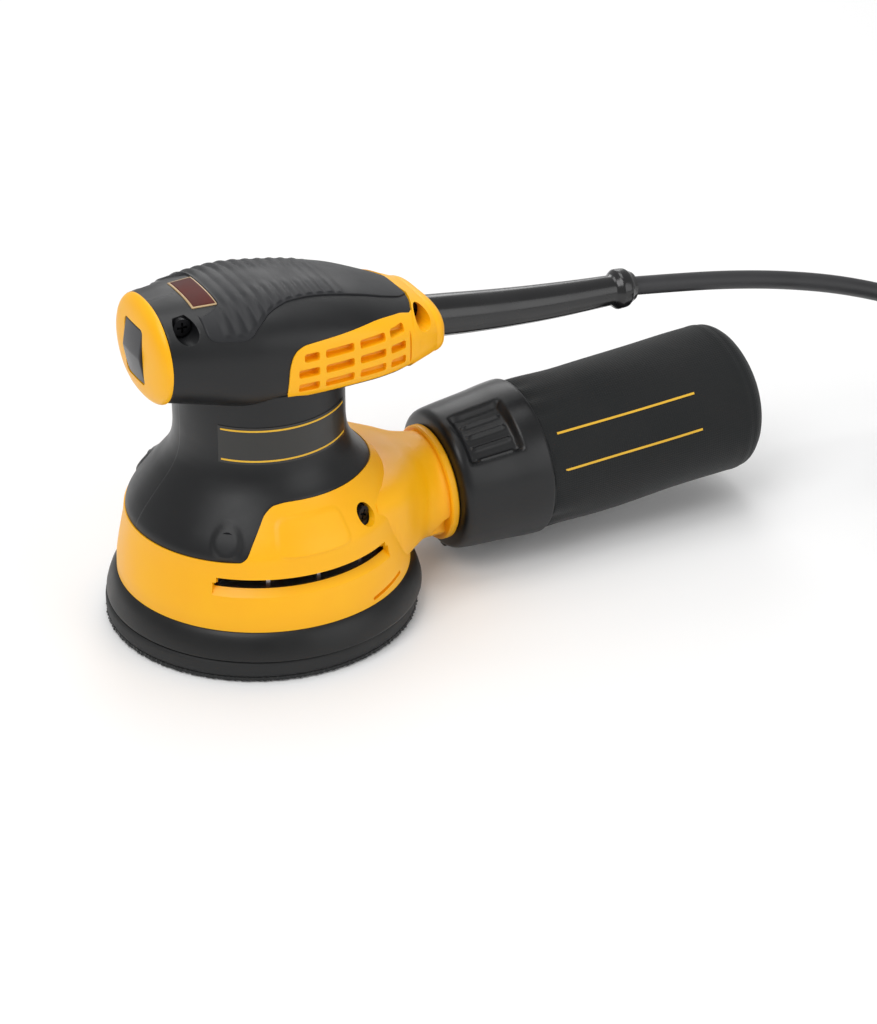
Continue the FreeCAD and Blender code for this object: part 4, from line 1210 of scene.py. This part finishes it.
# ---- front cap, grip and badge ----------------------------------------------------------------------------------
@dataclass(frozen=True)
class FrontCap:
    """Yellow egg-shaped cap with the switch window."""

    back: float = -45.2
    front: float = -50.6
    half: float = 25.4
    low: float = 101.6
    high: float = 142.4
    window: tuple[float, float] = (8.4, 11.6)
    window_z: float = 122.0

    def build(self) -> None:
        """Make the cap and its rocker."""
        mid, half_z = (self.low + self.high) / 2, (self.high - self.low) / 2

        def place(u: float, v: float) -> tuple[float, float, float]:
            """Point of the cap.

            Args:
                u: share of the way round.
                v: share of the way out from the middle.

            Returns:
                The point in millimetres.
            """
            a = 2 * math.pi * u
            k = round(v * 24) / 24
            rho = math.sin(k * math.pi / 2)
            x = self.front + (self.back - self.front) * (1 - math.sqrt(max(0.0, 1 - rho ** 3.4)))
            pinch = 1 - 0.10 * math.sin(a) * (1 if math.sin(a) > 0 else -0.6)
            return (x, self.half * pinch * rho * power(math.cos(a), 0.86),
                    mid + half_z * rho * power(math.sin(a), 0.86))

        piece = surface("front_cap_egg", 96, 24, place)
        weld(piece, 0.02)
        close_ends(piece)
        y, z = self.window
        cut(piece, block((self.front - 3, -y, self.window_z - z), (self.back + 2, y, self.window_z + z), 2.0))
        soften(piece, 0.5, 38)
        shade(piece, 34)
        dress(piece, YELLOW_NYLON, "housing", "yellow_nylon", "front_cap")
        self.rocker()

    def rocker(self) -> None:
        """Tall rocker, creased across its middle, with pointed ends."""
        y, z = self.window[0] - 0.35, self.window[1] - 0.4

        def place(u: float, v: float) -> tuple[float, float, float]:
            """Point of the key's face.

            Args:
                u: share of the width.
                v: share of the height.

            Returns:
                The point in millimetres.
            """
            across, along = (2 * u - 1) * y, 2 * v - 1
            crest = 1 - abs(along) ** 1.15
            crown = 0.35 * (1 - (across / y) ** 2)
            return -49.7 - 2.0 * crest - crown, across, self.window_z + z * along

        key = surface("rocker_key", 16, 40, place)
        face_out(key, (-1, 0, 0))
        modify(key, "SOLIDIFY", thickness=3.2 * MM, offset=-1.0)
        soften(key, 0.4, 40)
        shade(key, 25)
        dress(key, SWITCH_PLASTIC, "rocker", "switch_plastic", "rocker")


@dataclass(frozen=True)
class TopGrip:
    """Soft overmoulding on the head's top, with cross ribs near its edge."""

    start: float = -31.5
    end: float = 60.0
    proud: float = 0.7
    pitch: float = 4.7
    edge: Track = Track(((-31.5, 136), (-31.2, 146), (-30.4, 151), (-29, 154), (-26, 155.6), (-18, 156.4), (-15, 153),
                         (-13, 148), (-9, 139), (-5.5, 132), (0, 125), (5, 120.5), (15.5, 117), (25.5, 116), (44, 115),
                         (54, 112), (60, 104)))

    def rib(self, x: float, t: float) -> float:
        """Height of the cross ribs at a station and a place across, from -1 to 1 at the edges.

        Args:
            x: station along the head.
            t: place across, from -1 to 1.

        Returns:
            The height in millimetres.
        """
        wave = 0.5 + 0.5 * math.cos(2 * math.pi * x / self.pitch)
        where = (ease((x + 28) / 5) * ease((32 - x) / 8) * (0.35 + 0.65 * ease((abs(t) - 0.1) / 0.3))
                 * ease((0.94 - abs(t)) / 0.06))
        return 0.5 * (wave ** 0.7) * where

    def build(self) -> None:
        """Make the pad of rubber."""
        def place(u: float, v: float) -> Vector:
            """Point of the rubber.

            Args:
                u: share of the length.
                v: share of the width.

            Returns:
                The point in millimetres.
            """
            t = 2 * v - 1
            first = self.start + 9.0 * ease((0.62 - abs(t)) / 0.3)
            x = first + (self.end - first) * u
            phi = math.radians(90 + (self.edge.at(x) - 90) * t)
            lip = min(1.0, (1 - abs(t)) / 0.03) if abs(t) > 0.97 else 1.0
            ends = ease((x - first) / 0.6) * ease((self.end - x) / 0.8)
            return head_point(x, phi, (self.proud * math.sqrt(max(0.0, lip)) + self.rib(x, t)) * ends - 0.15)

        piece = surface("top_grip_pad", 260, 90, place)
        face_out(piece, (0, 0, 1))
        modify(piece, "SOLIDIFY", thickness=1.2 * MM, offset=-1.0)
        shade(piece, 40)
        dress(piece, SOFT_GRIP, "housing", "soft_grip", "top_grip")


@dataclass(frozen=True)
class Badge:
    """Blank printed badge with a pale rim, near the front of the head's top."""

    x: tuple[float, float] = (-32.0, -21.8)
    phi: tuple[float, float] = (76.0, 113.0)

    def plate(self, name: str, inset: float, proud: float, finish: Finish) -> None:
        """One layer of the badge.

        Args:
            name: the piece's name.
            inset: distance inside the badge's edge.
            proud: height over the head's skin.
            finish: its material.
        """
        (x0, x1), (p0, p1) = self.x, self.phi

        def place(u: float, v: float) -> Vector:
            """Point of the layer.

            Args:
                u: share of the length.
                v: share of the width.

            Returns:
                The point in millimetres.
            """
            return head_point(x0 + inset + (x1 - x0 - 2 * inset) * u,
                              math.radians(p0 + inset * 2.1 + (p1 - p0 - inset * 4.2) * v), proud)

        piece = surface(name, 20, 20, place)
        face_out(piece, (0, 0, 1))
        modify(piece, "SOLIDIFY", thickness=0.6 * MM, offset=-1.0)
        soften(piece, 0.2, 50)
        shade(piece, 40)
        dress(piece, finish, "housing", "label_film")

    def build(self) -> None:
        """Make the rim and the panel."""
        self.plate("badge_rim", 0.0, 0.35, BADGE_RIM)
        self.plate("badge_panel", 0.8, 0.5, BADGE_RED)


# ---- ring and pad ------------------------------------------------------------------------------------------------
@dataclass(frozen=True)
class SandingPad:
    """Brake ring, foam and hook face of the disc."""

    radius: float = 62.5
    axis: tuple[float, float] = (-1.3, 0.0)
    holes: int = 8
    hole: float = 5.0
    hole_circle: float = 32.5

    def ring(self) -> None:
        """Rubber brake ring with a soft fold."""
        profile = [(57.4, 19.2), (58.6, 19.2), (60.0, 17.6), (61.2, 15.4), (62.2, 12.6), (62.9, 10.0), (63.0, 8.9),
                   (62.6, 8.4), (60.2, 8.4), (60.4, 10.4), (59.6, 13.6), (57.4, 16.8)]
        piece = turned("brake_ring_rubber", profile, 180)
        soften(piece, 0.35, 30)
        shade(piece, 34)
        dress(piece, RING_RUBBER, "housing", "ring_rubber", "brake_ring")

    def drill(self, piece: bpy.types.Object) -> None:
        """Dust holes through a layer.

        Args:
            piece: the layer.
        """
        for k in range(self.holes):
            a = 2 * math.pi * (k + 0.5) / self.holes
            x, y = self.axis[0] + self.hole_circle * math.cos(a), self.axis[1] + self.hole_circle * math.sin(a)
            cut(piece, rod(self.hole, (x, y, -2), (x, y, 12), 40))

    def build(self) -> None:
        """Make the ring, the foam and the hook face."""
        self.ring()
        r = self.radius
        foam = turned("pad_foam_disc", [(0.01, 1.4), (r - 1.3, 1.4), (r - 0.5, 2.0), (r - 0.2, 3.2), (r - 0.2, 6.2),
                                        (r - 0.5, 7.4), (r - 1.2, 8.0), (0.01, 8.0)], 160, self.axis)
        self.drill(foam)
        soften(foam, 0.25, 40)
        shade(foam, 40)
        dress(foam, PAD_FOAM, "pad", "pad_foam", "pad_foam")

        def place(u: float, v: float) -> tuple[float, float, float]:
            """Point of the hook face.

            Args:
                u: share of the turn.
                v: share of the way round the section.

            Returns:
                The point in millimetres.
            """
            k = round(v * 4)
            a = 2 * math.pi * u
            ragged = 0.26 * math.sin(97 * a) * math.sin(41 * a + 1.7) + 0.18 * math.sin(173 * a)
            section = ((0.01, 0.0), (r - 0.9, 0.0), (r - 0.25 + ragged, 0.35), (r - 0.5 + ragged * 0.6, 1.4),
                       (0.01, 1.4))
            radius, z = section[k]
            return self.axis[0] + radius * math.cos(a), self.axis[1] + radius * math.sin(a), z

        hooks = surface("hook_disc", 720, 4, place)
        weld(hooks)
        self.drill(hooks)
        shade(hooks, 40)
        dress(hooks, HOOK_FABRIC, "pad", "hook_fabric", "hook_face")


# ---- dust bag ------------------------------------------------------------------------------------------------------
@dataclass(frozen=True)
class DustBag:
    """Moulded collar and the cloth bag that it holds."""

    cloth_start: float = 31.0
    end: float = 142.0
    radius: float = 31.4
    corner: float = 8.0
    collar_line: Track = Track(((0.3, 26.8), (1.2, 28.4), (3, 29.4), (6, 29.9), (22, 31.3), (38.2, 32.7), (39, 32.4)))

    def collar(self) -> None:
        """Collar with a hollow for the fingers and ribs in it."""
        def place(u: float, v: float) -> tuple[float, float, float]:
            """Point of the collar.

            Args:
                u: share of the turn.
                v: share of the way along the outside, then back inside.

            Returns:
                The point in millimetres.
            """
            k = round(v * 90)
            phi = 2 * math.pi * u
            if k <= 70:
                s = 0.3 + 38.7 * k / 70
                return PORT.at(s, self.collar_line.at(s) + self.hollow(phi, s), phi)
            if k <= 74:
                return PORT.at(39.0 - (k - 70) * 0.1, 32.4 - 0.55 * (k - 70), phi)
            s = 38.6 - (k - 74) * (36.3 / 15) if k < 90 else 0.3
            return PORT.at(s, (30.0 if s > 29 else 26.4) if k < 89 else 20.3, phi)

        piece = surface("collar_shell", 240, 90, place)
        weld(piece)
        close_ends(piece)
        rail = surface("collar_rail", 12, 60, lambda u, v: PORT.at(
            2 + 36 * v, 28.4 + 3.0 * v + 1.9 * (0.6 + 0.4 * math.sin(2 * math.pi * u)),
            math.radians(-95) + 0.075 * math.cos(2 * math.pi * u)))
        weld(rail)
        close_ends(rail)
        cut(piece, rail, "UNION")
        soften(piece, 0.4, 40)
        shade(piece, 34)
        dress(piece, COLLAR_NYLON, "dust_bag", "collar_nylon", "bag_collar")

    def hollow(self, phi: float, s: float) -> float:
        """Depth of the finger hollow, which is on both sides, and its ribs.

        Args:
            phi: angle round the port's axis.
            s: distance along it.

        Returns:
            How far the skin moves out, which is below zero in the hollow.
        """
        across = math.degrees(math.atan2(math.sin(phi - math.radians(122)), math.cos(phi - math.radians(122))))
        other = math.degrees(math.atan2(math.sin(phi + math.radians(58)), math.cos(phi + math.radians(58))))
        a = min(abs(across), abs(other))
        window = ease((24 - a) / 4) * ease((s - 4.5) / 3.5) * ease((30 - s) / 3.5)
        ribs = max(0.0, math.cos(2 * math.pi * a / 10.5)) ** 8 * ease((s - 8) / 3) * ease((27 - s) / 3)
        return window * (-2.6 + 1.7 * ribs)

    def drape(self, phi: float, s: float) -> tuple[float, float, float]:
        """Slack of the cloth.

        Args:
            phi: angle round the port's axis.
            s: distance along it.

        Returns:
            How free the cloth is, its folds' height and its sag.
        """
        along = (s - self.cloth_start) / (self.end - self.cloth_start)
        body = ease((s - 42) / 25) * ease((150 - s) / 20)
        fold = (0.26 * math.sin(3 * phi + 5.1 * along + 0.6) + 0.2 * math.sin(5 * phi - 7.3 * along + 1.9)
                + 0.12 * math.sin(2 * phi + 14 * along)) * body
        return body, fold, -0.5 * math.sin(math.pi * min(1.0, along)) - 0.6 * along

    def cloth(self) -> None:
        """Lofted cloth shell that sags a little, with a hem, seams and soft folds."""
        length = self.end - self.cloth_start

        def place(u: float, v: float) -> tuple[float, float, float]:
            """Point of the cloth.

            Args:
                u: share of the turn.
                v: share of the way along, round the corner and inwards.

            Returns:
                The point in millimetres.
            """
            phi = 2 * math.pi * u
            t = v * (length - self.corner + self.corner * math.pi / 2 + self.radius - self.corner)
            if t <= length - self.corner:
                s, r = self.cloth_start + t, self.radius
            elif t <= length - self.corner + self.corner * math.pi / 2:
                a = (t - length + self.corner) / self.corner
                s = self.end - self.corner + self.corner * math.sin(a)
                r = self.radius - self.corner + self.corner * math.cos(a)
            else:
                s = self.end
                r = max(0.02, self.radius - self.corner - (t - length + self.corner - self.corner * math.pi / 2))
            body, fold, sag = self.drape(phi, s)
            pull = 0.45 * math.sin(17 * phi + 2.2 * math.sin(3 * phi)) * math.exp(-(s - 40) / 7) if s > 40 else 0.0
            seam = -0.25 * math.exp(-((s - (self.end - self.corner + 1.0)) / 0.9) ** 2) * (1 if r > 20 else 0)
            bulge = 0.15 * math.exp(-((s - (self.end - self.corner - 1.6)) / 1.5) ** 2)
            dome = 1.6 * (1 - (r / self.radius) ** 2) if s > self.end - 2 else 0.0
            raised = (fold + pull + seam + bulge) * min(1.0, r / 16)
            return PORT.at(s + dome * 0.5, r * (1 - 0.012 * math.sin(phi) * body) + raised, phi, sag * 0.7)

        piece = surface("bag_sleeve", 240, 200, place)
        scale_uv(piece, 2 * math.pi * self.radius, length + self.radius)
        weld(piece, 0.005)
        self.outwards(piece)
        modify(piece, "SOLIDIFY", thickness=1.0 * MM, offset=-1.0)
        shade(piece, 60)
        dress(piece, BAG_CLOTH, "dust_bag", "bag_cloth", "bag_cloth")
        for name, across in (("bag_line_high", 13.0), ("bag_line_low", -8.0)):
            self.stripe(name, across)

    def outwards(self, piece: bpy.types.Object) -> None:
        """Turn the shell's faces away from the bag's axis.

        Args:
            piece: the shell.
        """
        total = 0.0
        for face in piece.data.polygons:
            axis = Vector(PORT.at((face.center.x / MM - PORT.x), 0, 0)) * MM
            total += face.normal.dot(face.center - axis)
        if total < 0:
            edit(piece, lambda: bpy.ops.mesh.flip_normals())

    def stripe(self, name: str, across: float) -> None:
        """Thin printed line along the bag's near side.

        Args:
            name: the line's name.
            across: its place across the bag's side.
        """
        middle = 158.0

        def place(u: float, v: float) -> tuple[float, float, float]:
            """Point of the line.

            Args:
                u: share of the length.
                v: share of the width.

            Returns:
                The point in millimetres.
            """
            s = 45 + 65 * u
            phi = math.radians(middle - across * 1.35 + (v - 0.5) * 1.7)
            body, fold, sag = self.drape(phi, s)
            return PORT.at(s, self.radius * (1 - 0.012 * math.sin(phi) * body) + fold + 0.18, phi, sag * 0.7)

        piece = surface(name, 90, 2, place)
        edit(piece, lambda: bpy.ops.mesh.normals_make_consistent(inside=False))
        self.outwards(piece)
        modify(piece, "SOLIDIFY", thickness=0.16 * MM, offset=-1.0)
        shade(piece, 60)
        dress(piece, PRINT_YELLOW, "dust_bag", "label_film")

    def build(self) -> None:
        """Make the collar and the cloth."""
        self.collar()
        self.cloth()


# ---- the whole tool ------------------------------------------------------------------------------------------------
def dress_frame() -> None:
    """Give every carried-over node its finish."""
    for name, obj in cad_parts.items():
        finish = NODE_FINISHES.get(name, BLACK_NYLON if name != "rocker" else SWITCH_PLASTIC)
        obj.data.materials.clear()
        obj.data.materials.append(finish.build())


def main() -> None:
    """Build the sander in order."""
    dress_frame()
    Studio().build()
    for part in (MainsLead(), MotorHousing(), NeckBand(), DustSkirt(), RearCap(), FrontCap(), TopGrip(), Badge(),
                 SandingPad(), DustBag()):
        part.build()
        log.info("%s built", type(part).__name__)


if __name__ == "__main__":
    main()
